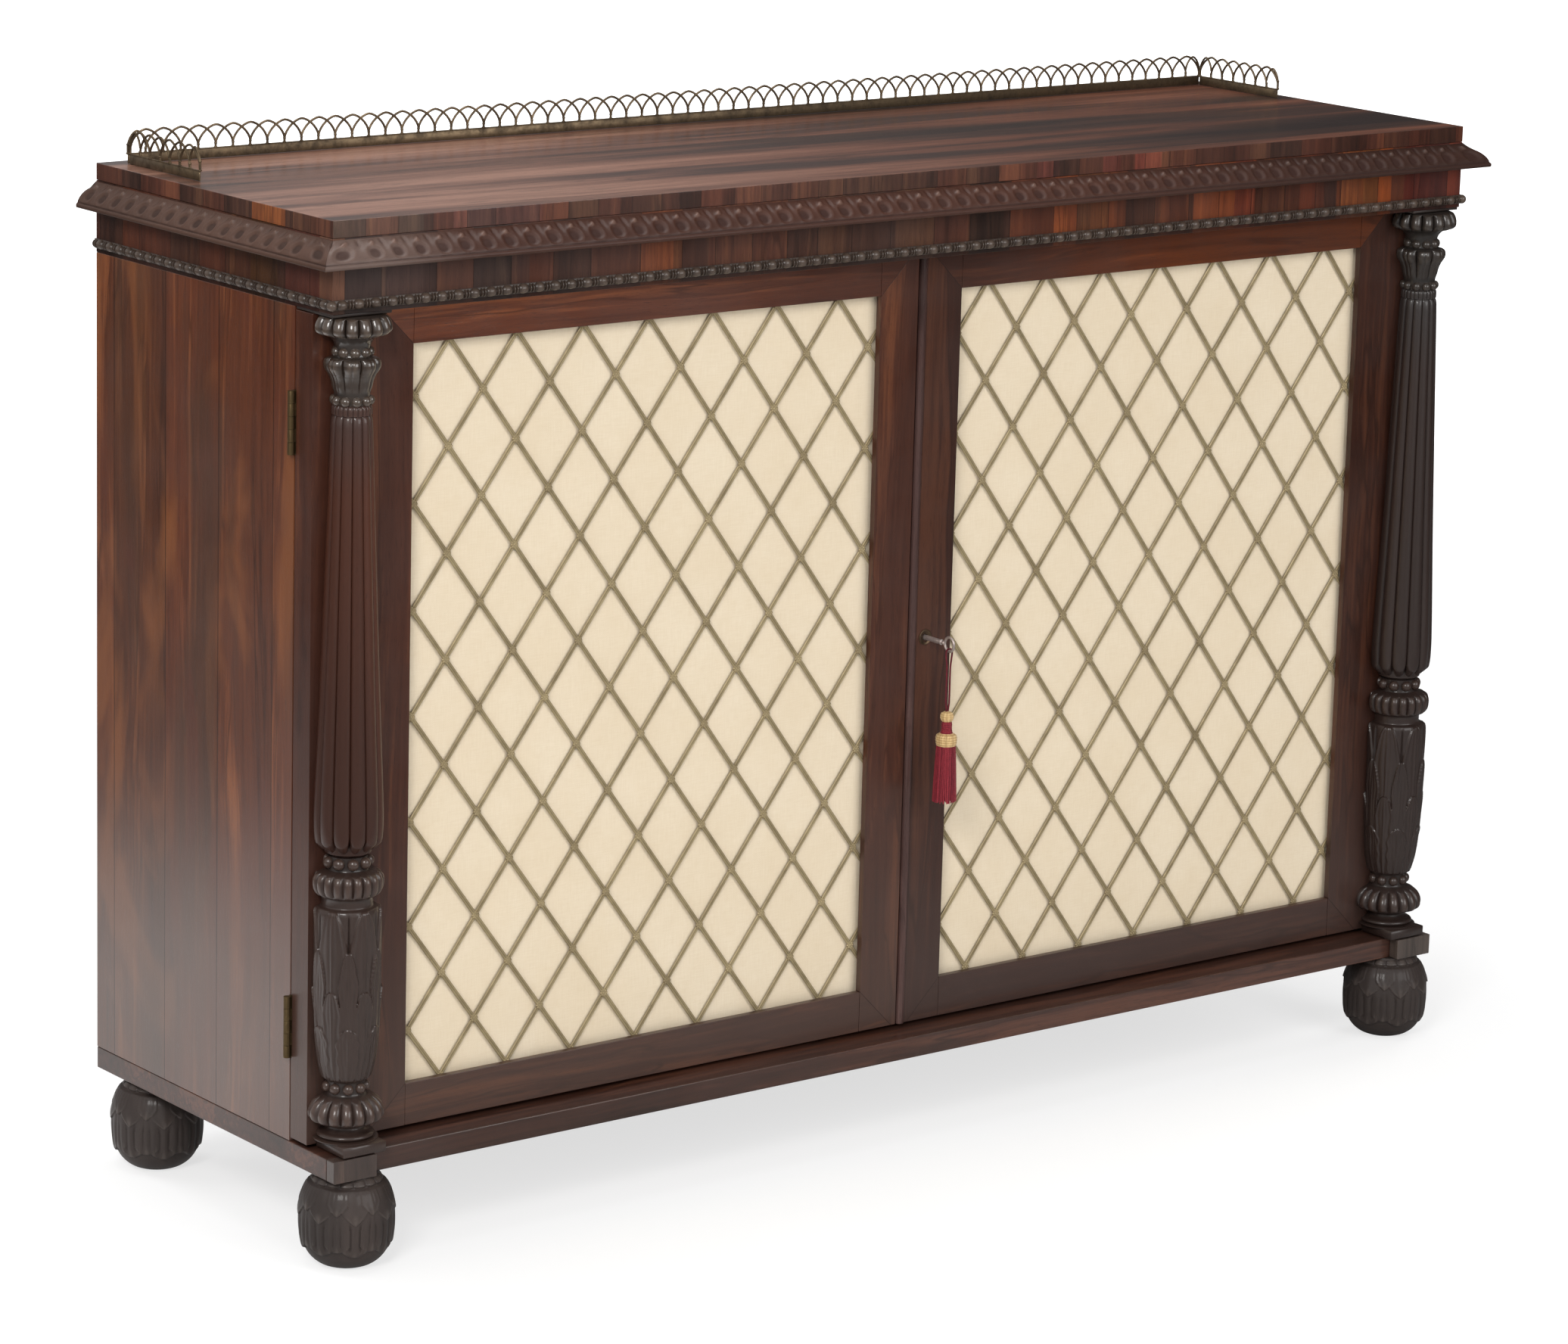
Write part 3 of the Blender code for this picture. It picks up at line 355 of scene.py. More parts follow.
# ------------------------------------------------------------------- materials
class Nodes:
    """Short names for the shader nodes used here."""

    def __init__(self, name):
        self.material = bpy.data.materials.new(name)
        self.material.use_nodes = True
        self.tree = self.material.node_tree
        self.tree.nodes.clear()
        self.out = self.tree.nodes.new("ShaderNodeOutputMaterial")

    def node(self, kind, **props):
        made = self.tree.nodes.new(kind)
        for k, v in props.items():
            setattr(made, k, v)
        return made

    def put(self, socket, value):
        if isinstance(value, bpy.types.NodeSocket):
            self.tree.links.new(value, socket)
        elif value is not None:
            if isinstance(value, (tuple, list)) and len(value) == 3 and socket.type == "RGBA":
                value = (*value, 1.0)
            socket.default_value = value

    def math(self, op, a, b=None, c=None, clamp=False):
        m = self.node("ShaderNodeMath", operation=op, use_clamp=clamp)
        for s, v in zip(m.inputs, (a, b, c)):
            self.put(s, v)
        return m.outputs[0]

    def vec(self, op, a, b=None, scale=None):
        m = self.node("ShaderNodeVectorMath", operation=op)
        self.put(m.inputs[0], a)
        if b is not None:
            self.put(m.inputs[1], b)
        if scale is not None:
            self.put(m.inputs["Scale"], scale)
        return m.outputs["Value"] if op in ("LENGTH", "DISTANCE", "DOT_PRODUCT") else m.outputs[0]

    def parts(self, v):
        m = self.node("ShaderNodeSeparateXYZ")
        self.put(m.inputs[0], v)
        return m.outputs[0], m.outputs[1], m.outputs[2]

    def join(self, x, y, z):
        m = self.node("ShaderNodeCombineXYZ")
        for s, v in zip(m.inputs, (x, y, z)):
            self.put(s, v)
        return m.outputs[0]

    def noise(self, v, scale=1.0, detail=3.0, rough=0.5, bend=0.0, colour=False):
        m = self.node("ShaderNodeTexNoise")
        self.put(m.inputs["Vector"], v)
        self.put(m.inputs["Scale"], scale)
        self.put(m.inputs["Detail"], detail)
        self.put(m.inputs["Roughness"], rough)
        self.put(m.inputs["Distortion"], bend)
        return m.outputs["Color" if colour else "Fac"]

    def cells(self, w, randomness=1.0):
        """Random colour of each cell along one direction, and the distance to the cell's edge."""
        out = []
        for feature in ("F1", "DISTANCE_TO_EDGE"):
            m = self.node("ShaderNodeTexVoronoi", voronoi_dimensions="1D", feature=feature)
            self.put(m.inputs["W"], w)
            self.put(m.inputs["Scale"], 1.0)
            self.put(m.inputs["Randomness"], randomness)
            out.append(m.outputs["Color" if feature == "F1" else "Distance"])
        return out

    def mix(self, fac, a, b, kind="RGBA", blend="MIX"):
        m = self.node("ShaderNodeMix", data_type=kind)
        if kind == "RGBA":
            m.blend_type = blend
        index = {"FLOAT": (0, 2, 3, 0), "VECTOR": (0, 4, 5, 1), "RGBA": (0, 6, 7, 2)}[kind]
        self.put(m.inputs[index[0]], fac)
        self.put(m.inputs[index[1]], a)
        self.put(m.inputs[index[2]], b)
        return m.outputs[index[3]]

    def ramp(self, fac, stops, mode="LINEAR"):
        m = self.node("ShaderNodeValToRGB")
        m.color_ramp.interpolation = mode
        while len(m.color_ramp.elements) < len(stops):
            m.color_ramp.elements.new(0.5)
        for el, (at, colour) in zip(m.color_ramp.elements, stops):
            el.position = at
            el.color = (*colour, 1.0) if len(colour) == 3 else colour
        self.put(m.inputs[0], fac)
        return m.outputs[0]

    def span(self, v, lo, hi, a=0.0, b=1.0, soft=False):
        m = self.node("ShaderNodeMapRange", clamp=True)
        m.interpolation_type = "SMOOTHSTEP" if soft else "LINEAR"
        for s, x in zip(m.inputs, (v, lo, hi, a, b)):
            self.put(s, x)
        return m.outputs[0]

    def value(self, name):
        m = self.node("ShaderNodeAttribute", attribute_name=name)
        return m.outputs["Fac"]

    def place(self):
        return self.node("ShaderNodeTexCoord").outputs["Object"]

    def facing(self):
        return self.node("ShaderNodeTexCoord").outputs["Normal"]

    def bump(self, height, distance, strength=1.0, normal=None):
        m = self.node("ShaderNodeBump")
        self.put(m.inputs["Height"], height)
        m.inputs["Distance"].default_value = distance
        m.inputs["Strength"].default_value = strength
        if normal is not None:
            self.put(m.inputs["Normal"], normal)
        return m.outputs[0]

    def finish(self, colour, rough, normal=None, metallic=0.0, coat=0.0, coat_rough=0.1, sheen=0.0, specular=0.5):
        p = self.node("ShaderNodeBsdfPrincipled")
        self.put(p.inputs["Base Color"], colour)
        self.put(p.inputs["Roughness"], rough)
        p.inputs["Metallic"].default_value = metallic
        p.inputs["Coat Weight"].default_value = coat
        p.inputs["Coat Roughness"].default_value = coat_rough
        p.inputs["Sheen Weight"].default_value = sheen
        p.inputs["Specular IOR Level"].default_value = specular
        if normal is not None:
            self.put(p.inputs["Normal"], normal)
        self.tree.links.new(p.outputs[0], self.out.inputs["Surface"])
        return self.material


# grain direction -> the place's parts, with the grain first
TURNS = {"x": (0, 2, 1), "y": (1, 2, 0), "z": (2, 0, 1)}


def grain_place(n, p, axis):
    s = n.parts(p)
    return n.join(*[s[k] for k in TURNS[axis]])


def grain(n, q, figure=1.0, seed=0.0):
    """Fields of a figured timber: the broad figure, dark rings, fine streaks and pores."""
    q = n.vec("ADD", q, (seed * 1.7, seed * 3.1, seed * 2.3))
    bend = n.noise(n.vec("MULTIPLY", q, (3.0, 9.0, 9.0)), 1.0, 2.0, 0.5)
    shift = n.math("MULTIPLY", n.math("SUBTRACT", bend, 0.5), 0.030 * figure)
    q2 = n.vec("ADD", q, n.join(0.0, shift, shift))
    broad = n.noise(n.vec("MULTIPLY", q2, (1.1, 16.0, 16.0)), 1.0, 4.0, 0.55, 0.4)
    rings = n.math("PINGPONG", n.math("MULTIPLY", broad, 11.0), 1.0)
    streak = n.noise(n.vec("MULTIPLY", q2, (5.0, 170.0, 170.0)), 1.0, 4.0, 0.6)
    pores = n.noise(n.vec("MULTIPLY", q2, (90.0, 2600.0, 2600.0)), 1.0, 1.0, 0.5)
    return broad, rings, streak, pores


def timber(name, axis, tones, rough=0.30, coat=0.35, coat_rough=0.12, seed=0.0, leaves=None, blocks=None, mitre=None, gloss=0.5, dull=0.0, contrast=1.0, rail=(1.0, 1.0, 1.0), rail_highlight_from=0.0, rail_highlight_to=1.0, flame=0.0, painted_shade_under_bead=None, accents=None, painted_floor_sheen=None):
    """Polished rosewood. tones: dark, middle and light. leaves: width of the veneer leaves and the
    direction they are laid side by side. blocks: width of the crossbanding's pieces along the edge.
    accents: (from, to, colour, share) for single pieces of another colour along the banding."""
    n = Nodes(name)
    p = n.place()
    seam = None
    tint = None
    if mitre is not None:
        # the corners of the opening part the rails' veneer from the stiles'
        x, y, z = n.parts(p)
        (x0, x1), (z0, z1) = mitre
        out_x = n.math("SUBTRACT", n.math("ABSOLUTE", n.math("SUBTRACT", x, (x0 + x1) / 2)), (x1 - x0) / 2)
        out_z = n.math("SUBTRACT", n.math("ABSOLUTE", n.math("SUBTRACT", z, (z0 + z1) / 2)), (z1 - z0) / 2)
        gap = n.math("SUBTRACT", out_z, out_x)
        on_rail = n.math("GREATER_THAN", gap, 0.0)
        q = n.mix(on_rail, grain_place(n, n.vec("ADD", p, (0.31, 0.0, 0.0)), "z"), grain_place(n, n.vec("ADD", p, (0.0, 0.0, 0.77)), "x"), "VECTOR")
        seam = n.span(n.math("ABSOLUTE", gap), 0.00015, 0.0006, 1.0, 0.0)
    else:
        q = grain_place(n, p, axis)
    if leaves is not None:
        width, side = leaves
        along = n.parts(p)["xyz".index(side)]
        w = n.math("DIVIDE", along, width)
        cell = n.math("FLOOR", w)
        part = n.math("FRACT", w)
        # every second leaf is turned over, as book-matched veneers are
        odd = n.math("MODULO", n.math("ABSOLUTE", cell), 2.0)
        q = n.vec("ADD", q, n.join(n.math("MULTIPLY", cell, 0.043), n.math("MULTIPLY", cell, 0.61), n.math("MULTIPLY", odd, 0.27)))
        edge = n.math("MINIMUM", part, n.math("SUBTRACT", 1.0, part))
        seam = n.span(n.math("MULTIPLY", edge, width), 0.0002, 0.0009, 1.0, 0.0)
        tint = n.noise(n.join(n.math("MULTIPLY", cell, 3.37), 0.5, seed), 1.0, 0.0, 0.5)
    if blocks is not None:
        width, side = blocks
        along = n.parts(p)["xyz".index(side)]
        colour, border = n.cells(n.math("DIVIDE", along, width), 0.75)
        r, g, b = n.parts(colour)
        q = n.vec("ADD", q, n.join(n.math("MULTIPLY", r, 3.0), n.math("MULTIPLY", g, 3.0), n.math("MULTIPLY", b, 2.0)))
        seam = n.span(n.math("MULTIPLY", border, width), 0.0001, 0.0007, 1.0, 0.0)
        tint = r
    broad, rings, streak, pores = grain(n, q, 1.0, seed)
    dark, middle, light = tones
    f = n.math("ADD", broad, n.math("MULTIPLY", n.math("SUBTRACT", streak, 0.5), 0.55))
    lo, hi = 0.5 - 0.22 / contrast, 0.5 + 0.22 / contrast
    f = n.span(f, lo, hi)
    base = n.ramp(f, [(0.0, dark), (0.30, tuple(0.6 * m + 0.4 * d for m, d in zip(middle, dark))), (0.55, middle), (0.82, light), (1.0, tuple(0.5 * m + 0.5 * d for m, d in zip(light, middle)))])
    line = n.span(rings, 0.0, 0.16, 1.0, 0.0, soft=True)
    line = n.math("MULTIPLY", line, n.span(streak, 0.35, 0.65, 0.25, 1.0))
    base = n.mix(n.math("MULTIPLY", line, 0.62), base, tuple(0.35 * d for d in dark))
    pore = n.span(pores, 0.60, 0.72, 0.0, 1.0)
    base = n.mix(n.math("MULTIPLY", pore, 0.55), base, tuple(0.3 * d for d in dark))
    if tint is not None:
        warm = n.ramp(tint, [(0.25, (0.72, 0.82, 0.86)), (0.45, (1.0, 0.97, 0.95)), (0.66, (1.08, 1.0, 0.98)), (0.82, (1.40, 1.12, 0.90))])
        base = n.mix(1.0, base, warm, blend="MULTIPLY")
    if mitre is not None:
        # the top rail lighter and oranger, most towards one end: partly its own veneer, partly painted highlight
        high = n.math("MULTIPLY", n.math("MULTIPLY", on_rail, n.math("GREATER_THAN", z, 0.5)), n.span(x, rail_highlight_from, rail_highlight_to, 0.15, 1.0, soft=True))
        base = n.mix(high, base, n.mix(1.0, base, rail, blend="MULTIPLY"))
    for a, b, colour, share in accents or ():
        inside = n.math("MULTIPLY", n.span(along, a - 0.0004, a + 0.0004), n.span(along, b - 0.0004, b + 0.0004, 1.0, 0.0))
        other = n.mix(1.0, base, colour, blend="MULTIPLY")
        base = n.mix(n.math("MULTIPLY", inside, share), base, other)
    if painted_shade_under_bead is not None:
        # painted shadow under the bead moulding: darker towards the frieze's lower edge
        base = n.mix(n.span(n.parts(p)[2], painted_shade_under_bead[0], painted_shade_under_bead[1], 0.0, 0.72, soft=True), base, (0.006, 0.003, 0.002))
    if flame:
        # broad cloudy figure over the fine grain: orange, olive and dark
        c = n.vec("ADD", n.vec("MULTIPLY", p, (10.0, 10.0, 3.4)), (seed, 0.0, 0.0))
        cloud = n.noise(c, 1.0, 3.0, 0.55, 0.9)
        cloud2 = n.noise(n.vec("ADD", n.vec("MULTIPLY", p, (15.0, 15.0, 2.2)), (7.0, 3.0, 1.0)), 1.0, 2.0, 0.5, 0.5)
        base = n.mix(n.math("MULTIPLY", n.span(cloud, 0.50, 0.68, soft=True), 0.65 * flame), base, (0.210, 0.072, 0.024))
        base = n.mix(n.math("MULTIPLY", n.span(cloud2, 0.50, 0.66, soft=True), 0.60 * flame), base, (0.048, 0.026, 0.017))
        base = n.mix(n.math("MULTIPLY", n.span(cloud, 0.46, 0.34, soft=True), 0.45 * flame), base, (0.090, 0.026, 0.016))
    if painted_floor_sheen is not None:
        # painted reflection of the pale floor: the polish greyer towards the bottom
        base = n.mix(n.span(n.parts(p)[2], painted_floor_sheen[0], painted_floor_sheen[1], 0.0, painted_floor_sheen[2], soft=True), base, painted_floor_sheen[3])
    if seam is not None:
        base = n.mix(n.math("MULTIPLY", seam, 0.8), base, tuple(0.2 * d for d in dark))
    wear = n.noise(n.vec("MULTIPLY", p, (7.0, 7.0, 7.0)), 1.0, 4.0, 0.6)
    base = n.mix(n.span(wear, 0.35, 0.75, 0.0, 0.20 + dull), base, tuple(0.75 * m + 0.04 for m in middle))
    smear = n.noise(n.vec("MULTIPLY", p, (30.0, 30.0, 30.0)), 1.0, 3.0, 0.6)
    r = n.math("ADD", n.span(wear, 0.3, 0.7, rough - 0.05, rough + 0.07), n.math("MULTIPLY", smear, 0.06))
    low = n.math("ADD", n.math("MULTIPLY", pore, -0.7), n.math("MULTIPLY", streak, 0.35))
    low = n.math("ADD", low, n.math("MULTIPLY", wear, 1.2))
    if seam is not None:
        low = n.math("SUBTRACT", low, seam)
    return n.finish(base, r, n.bump(low, 0.00009, 0.55), coat=coat, coat_rough=coat_rough, specular=gloss)


def carved(name, axis="z", dark=(0.012, 0.006, 0.004), mid=(0.044, 0.017, 0.010), light=(0.100, 0.044, 0.028), rough=0.34, coat=0.25, seed=0.0, painted_shade_downwards=None, coat_rough=0.14, gloss=0.38, painted_glare_end=None, painted_shade_end=None):
    """Carved and waxed rosewood: dirt and painted shade in the hollows, worn and lighter on the high places, with
    painted highlights there.
    """
    n = Nodes(name)
    p = n.place()
    broad, rings, streak, pores = grain(n, grain_place(n, p, axis), 1.0, seed)
    lift = n.value("lift")
    patch = n.noise(n.vec("MULTIPLY", p, (55.0, 55.0, 55.0)), 1.0, 4.0, 0.6)
    high = n.math("ADD", lift, n.math("MULTIPLY", n.math("SUBTRACT", patch, 0.5), 0.35))
    base = n.ramp(n.span(broad, 0.3, 0.7), [(0.0, tuple(0.75 * m for m in mid)), (0.6, mid), (1.0, tuple(1.5 * m for m in mid))])
    if painted_glare_end is not None:
        # painted glare: paler and greyer towards one end
        base = n.mix(n.span(n.parts(p)[0], painted_glare_end[0], painted_glare_end[1], 0.0, 0.60, soft=True), base, (0.150, 0.105, 0.088))
    # lighter on the high places: wear and painted highlight
    base = n.mix(n.span(high, 0.60, 1.0, 0.0, 0.60, soft=True), base, light)
    # painted shade: darker and greyer towards one end
    if painted_shade_end is not None:
        base = n.mix(n.span(n.parts(p)[0], painted_shade_end[0], painted_shade_end[1], 0.0, 0.62, soft=True), base, n.mix(1.0, base, (0.34, 0.36, 0.38), blend="MULTIPLY"))
    if painted_shade_downwards is not None:
        # painted shade: the shaft darkens downwards
        share = n.math("MULTIPLY", n.span(n.parts(p)[2], 0.74, 0.40), n.math("GREATER_THAN", n.parts(p)[2], 0.364))
        base = n.mix(n.math("MULTIPLY", share, painted_shade_downwards), base, (0.008, 0.004, 0.003))
        # and is rubbed grey under the capital
        base = n.mix(n.span(n.parts(p)[2], 0.665, 0.755, 0.0, 0.50, soft=True), base, tuple(0.9 * m + 0.012 for m in mid[1:2] * 3))
    # darker in the hollows: dirt and painted shade
    base = n.mix(n.span(high, 0.36, 0.02, 0.0, 0.85, soft=True), base, dark)
    base = n.mix(n.span(pores, 0.60, 0.74, 0.0, 0.4), base, dark)
    r = n.math("ADD", n.span(high, 0.1, 0.9, rough + 0.22, rough), n.math("MULTIPLY", patch, 0.08))
    low = n.math("ADD", n.math("MULTIPLY", streak, 0.5), n.math("MULTIPLY", patch, 1.2))
    return n.finish(base, r, n.bump(low, 0.00016, 0.6), coat=coat, coat_rough=coat_rough, specular=gloss)


def metal(name, colour, tarnish, rough=0.35, spots=0.5, scale=60.0, seed=0.0, metallic=1.0):
    """Old brass or steel: polished high places, browner in the patches and hollows."""
    n = Nodes(name)
    p = n.vec("ADD", n.place(), (seed, seed * 0.7, seed * 1.3))
    cloud = n.noise(n.vec("MULTIPLY", p, (scale,) * 3), 1.0, 5.0, 0.65)
    speck = n.noise(n.vec("MULTIPLY", p, (scale * 14,) * 3), 1.0, 2.0, 0.5)
    lift = n.value("lift")
    dirt = n.math("ADD", n.span(cloud, 0.38, 0.68, 0.0, spots), n.span(lift, 0.5, 0.05, 0.0, 0.8), clamp=True)
    dirt = n.math("ADD", dirt, n.span(speck, 0.62, 0.75, 0.0, 0.3), clamp=True)
    base = n.mix(dirt, colour, tarnish)
    r = n.math("ADD", n.math("MULTIPLY", dirt, 0.28), rough)
    low = n.math("ADD", n.math("MULTIPLY", cloud, 1.0), n.math("MULTIPLY", speck, 0.4))
    return n.finish(base, r, n.bump(low, 0.00008, 0.5), metallic=metallic)


def pine(name, axis, tones=((0.122, 0.060, 0.030), (0.230, 0.122, 0.062), (0.315, 0.180, 0.098)), rough=0.62, seed=0.0):
    n = Nodes(name)
    p = n.place()
    q = grain_place(n, p, axis)
    q = n.vec("ADD", q, (seed, seed * 2.1, seed * 0.6))
    bend = n.noise(n.vec("MULTIPLY", q, (2.0, 7.0, 7.0)), 1.0, 2.0, 0.5)
    shift = n.math("MULTIPLY", n.math("SUBTRACT", bend, 0.5), 0.05)
    q2 = n.vec("ADD", q, n.join(0.0, shift, shift))
    rings = n.math("PINGPONG", n.math("MULTIPLY", n.noise(n.vec("MULTIPLY", q2, (0.7, 11.0, 11.0)), 1.0, 2.0, 0.4, 0.2), 16.0), 1.0)
    fibre = n.noise(n.vec("MULTIPLY", q2, (14.0, 420.0, 420.0)), 1.0, 3.0, 0.6)
    f = n.math("ADD", n.math("MULTIPLY", rings, 0.65), n.math("MULTIPLY", fibre, 0.5))
    base = n.ramp(f, [(0.12, tones[0]), (0.5, tones[1]), (0.95, tones[2])])
    stain = n.noise(n.vec("MULTIPLY", p, (4.0, 4.0, 4.0)), 1.0, 4.0, 0.65)
    base = n.mix(n.span(stain, 0.42, 0.72, 0.0, 0.65), base, tuple(0.55 * t for t in tones[0]))
    low = n.math("ADD", n.math("MULTIPLY", rings, 0.5), fibre)
    return n.finish(base, n.span(fibre, 0.2, 0.8, rough + 0.1, rough - 0.05), n.bump(low, 0.0002, 0.6), specular=0.0)


ROSE = ((0.018, 0.008, 0.005), (0.048, 0.018, 0.011), (0.098, 0.036, 0.020))
rose_top = timber("rosewood_top", "x", ((0.030, 0.014, 0.010), (0.062, 0.026, 0.017), (0.120, 0.052, 0.034)), rough=0.27, coat=0.6, coat_rough=0.10, seed=4.0)
FRONT_ACCENTS = (
    (-0.655, -0.560, (0.80, 1.15, 1.55), 0.9),
    (-0.560, -0.4516, (0.70, 1.00, 1.30), 0.8),
    (-0.300, -0.262, (0.62, 0.80, 0.95), 0.8),
    (0.030, 0.072, (0.62, 0.72, 0.70), 0.8),
    (0.131, 0.176, (1.75, 1.45, 0.95), 0.9),
    (0.176, 0.219, (2.10, 1.62, 0.98), 0.9),
    (0.219, 0.262, (0.62, 0.66, 0.62), 0.8),
    (0.262, 0.3025, (0.72, 0.66, 0.60), 0.8),
    (0.3025, 0.354, (2.45, 1.78, 0.98), 0.9),
    (0.354, 0.380, (1.60, 1.00, 0.85), 0.9),
    (0.380, 0.437, (0.66, 0.60, 0.55), 0.8),
    (0.437, 0.469, (1.30, 0.95, 0.80), 0.9),
    (0.485, 0.520, (2.70, 1.80, 0.92), 0.9),
    (0.520, 0.557, (2.50, 1.95, 0.98), 0.9),
    (0.574, 0.655, (0.85, 0.52, 0.70), 0.9),
)
SIDE_ACCENTS = (
    (-0.168, -0.104, (1.55, 1.15, 1.25), 0.9),
    (-0.092, -0.050, (1.25, 1.32, 0.88), 0.8),
    (-0.050, -0.008, (1.20, 1.15, 1.10), 0.8),
)
rose_frieze_x = timber("rosewood_crossband_front", "z", ((0.028, 0.010, 0.007), (0.070, 0.025, 0.015), (0.118, 0.044, 0.022)), seed=1.0, blocks=(0.042, "x"), coat=0.12, gloss=0.30, contrast=0.75, painted_shade_under_bead=(0.8395, 0.8365), accents=FRONT_ACCENTS)
rose_frieze_y = timber("rosewood_crossband_side", "z", ((0.028, 0.010, 0.007), (0.070, 0.025, 0.015), (0.118, 0.044, 0.022)), seed=2.0, blocks=(0.042, "y"), coat=0.08, gloss=0.22, contrast=0.75, painted_shade_under_bead=(0.8395, 0.8365), accents=SIDE_ACCENTS)
rose_side = timber("rosewood_side", "z", ((0.034, 0.011, 0.006), (0.105, 0.032, 0.014), (0.215, 0.074, 0.028)), seed=6.0, leaves=(0.0870, "y"), coat=0.35, gloss=0.4, contrast=0.8, flame=1.0, painted_floor_sheen=(0.43, 0.20, 0.50, (0.122, 0.096, 0.085)))
rose_base = timber("rosewood_base", "x", ROSE, seed=3.0, coat=0.3, gloss=0.4)
left_opening = ((-0.5490, -0.0440), (0.1441, 0.7965))
right_opening = ((0.0500, 0.5490), (0.1441, 0.7965))
LEFT_TONES = ((0.024, 0.007, 0.004), (0.062, 0.020, 0.011), (0.128, 0.042, 0.018))
RIGHT_TONES = ((0.015, 0.005, 0.003), (0.036, 0.012, 0.007), (0.074, 0.025, 0.012))
rose_left_door = timber("rosewood_left_door", "z", LEFT_TONES, seed=8.0, mitre=left_opening, coat=0.15, gloss=0.32, contrast=0.78, rail=(2.15, 2.0, 1.75), rail_highlight_from=0.10, rail_highlight_to=-0.44, painted_floor_sheen=(0.42, 0.12, 0.43, (0.072, 0.054, 0.045)))
rose_right_door = timber("rosewood_right_door", "z", RIGHT_TONES, seed=9.0, mitre=right_opening, coat=0.15, gloss=0.32, contrast=0.78, rail=(3.1, 2.25, 1.05), rail_highlight_from=0.04, rail_highlight_to=0.30, painted_floor_sheen=(0.40, 0.14, 0.34, (0.074, 0.049, 0.041)))
carved_z = carved("carved_rosewood", "z", mid=(0.064, 0.019, 0.009), light=(0.120, 0.042, 0.022), rough=0.34, coat=0.40, seed=1.0, painted_shade_downwards=0.45, gloss=0.30)
capital_wood = carved("carved_capital", "z", dark=(0.008, 0.006, 0.005), mid=(0.038, 0.025, 0.018), light=(0.100, 0.072, 0.054), rough=0.26, coat=0.90, seed=14.0, coat_rough=0.10, gloss=0.45)
# the right column's copies are darker and duller: painted shade
capital_wood_right_shaded = carved("carved_capital_right_shaded", "z", dark=(0.007, 0.006, 0.005), mid=(0.022, 0.016, 0.013), light=(0.050, 0.038, 0.030), rough=0.32, coat=0.45, seed=15.0)
carved_z_right_shaded = carved("carved_rosewood_right_shaded", "z", mid=(0.024, 0.013, 0.010), light=(0.050, 0.030, 0.023), rough=0.34, coat=0.35, seed=11.0, painted_shade_downwards=0.1)
carved_z_low = carved("carved_rosewood_low", "z", mid=(0.036, 0.020, 0.015), light=(0.082, 0.050, 0.038), rough=0.34, coat=0.45, seed=12.0)
bead_wood = carved("carved_bead", "z", dark=(0.018, 0.011, 0.008), mid=(0.046, 0.030, 0.022), light=(0.120, 0.086, 0.066), seed=13.0)
carved_x = carved("carved_rosewood_front", "x", dark=(0.026, 0.008, 0.005), mid=(0.056, 0.021, 0.013), light=(0.165, 0.098, 0.076), rough=0.40, coat=0.10, seed=2.0, gloss=0.30, painted_glare_end=(-0.50, -0.63), painted_shade_end=(-0.05, 0.50))
carved_y = carved("carved_rosewood_side", "y", dark=(0.022, 0.010, 0.007), mid=(0.050, 0.025, 0.017), light=(0.095, 0.055, 0.040), rough=0.44, coat=0.04, seed=3.0, gloss=0.22)
foot_wood = carved("carved_foot", "z", mid=(0.031, 0.022, 0.019), light=(0.092, 0.073, 0.063), rough=0.44, coat=0.14, seed=5.0, gloss=0.32)
plain_dark = timber("rosewood_solid", "z", ((0.020, 0.012, 0.009), (0.044, 0.026, 0.020), (0.074, 0.044, 0.032)), seed=12.0, coat=0.35)
plain_grey = timber("rosewood_solid_right", "z", ((0.036, 0.026, 0.021), (0.072, 0.052, 0.042), (0.110, 0.078, 0.062)), seed=16.0, coat=0.2)
bead_rose = timber("rosewood_cock_bead", "z", ((0.028, 0.013, 0.011), (0.070, 0.036, 0.031), (0.110, 0.060, 0.052)), seed=17.0, coat=0.05, gloss=0.25)
pine_x = pine("pine_along", "x", seed=1.0)
pine_y = pine("pine_across", "y", seed=2.0)
pine_z = pine("pine_upright", "z", seed=3.0)
mahogany_x = timber("shelf_front", "x", ((0.060, 0.028, 0.016), (0.140, 0.068, 0.036), (0.230, 0.120, 0.064)), rough=0.42, coat=0.1, seed=15.0)
gallery_brass = metal("gallery_brass", (0.165, 0.118, 0.070), (0.045, 0.032, 0.022), rough=0.45, spots=0.8, scale=90.0, metallic=0.8)
grille_brass = metal("grille_brass", (0.390, 0.309, 0.172), (0.203, 0.155, 0.085), rough=0.44, spots=0.7, scale=45.0, seed=2.0, metallic=0.45)
fitting_brass = metal("fittings_brass", (0.420, 0.310, 0.140), (0.130, 0.090, 0.045), rough=0.36, spots=0.6, seed=5.0)
steel = metal("worn_steel", (0.580, 0.500, 0.470), (0.240, 0.185, 0.165), rough=0.36, spots=0.5, scale=140.0, seed=7.0, metallic=0.75)
dark_brass = metal("dark_brass", (0.130, 0.085, 0.050), (0.050, 0.032, 0.022), rough=0.40, spots=0.6, scale=160.0, seed=9.0, metallic=0.85)
iron = metal("tack_iron", (0.120, 0.110, 0.100), (0.050, 0.038, 0.030), rough=0.5, spots=0.7, scale=160.0, seed=8.0)


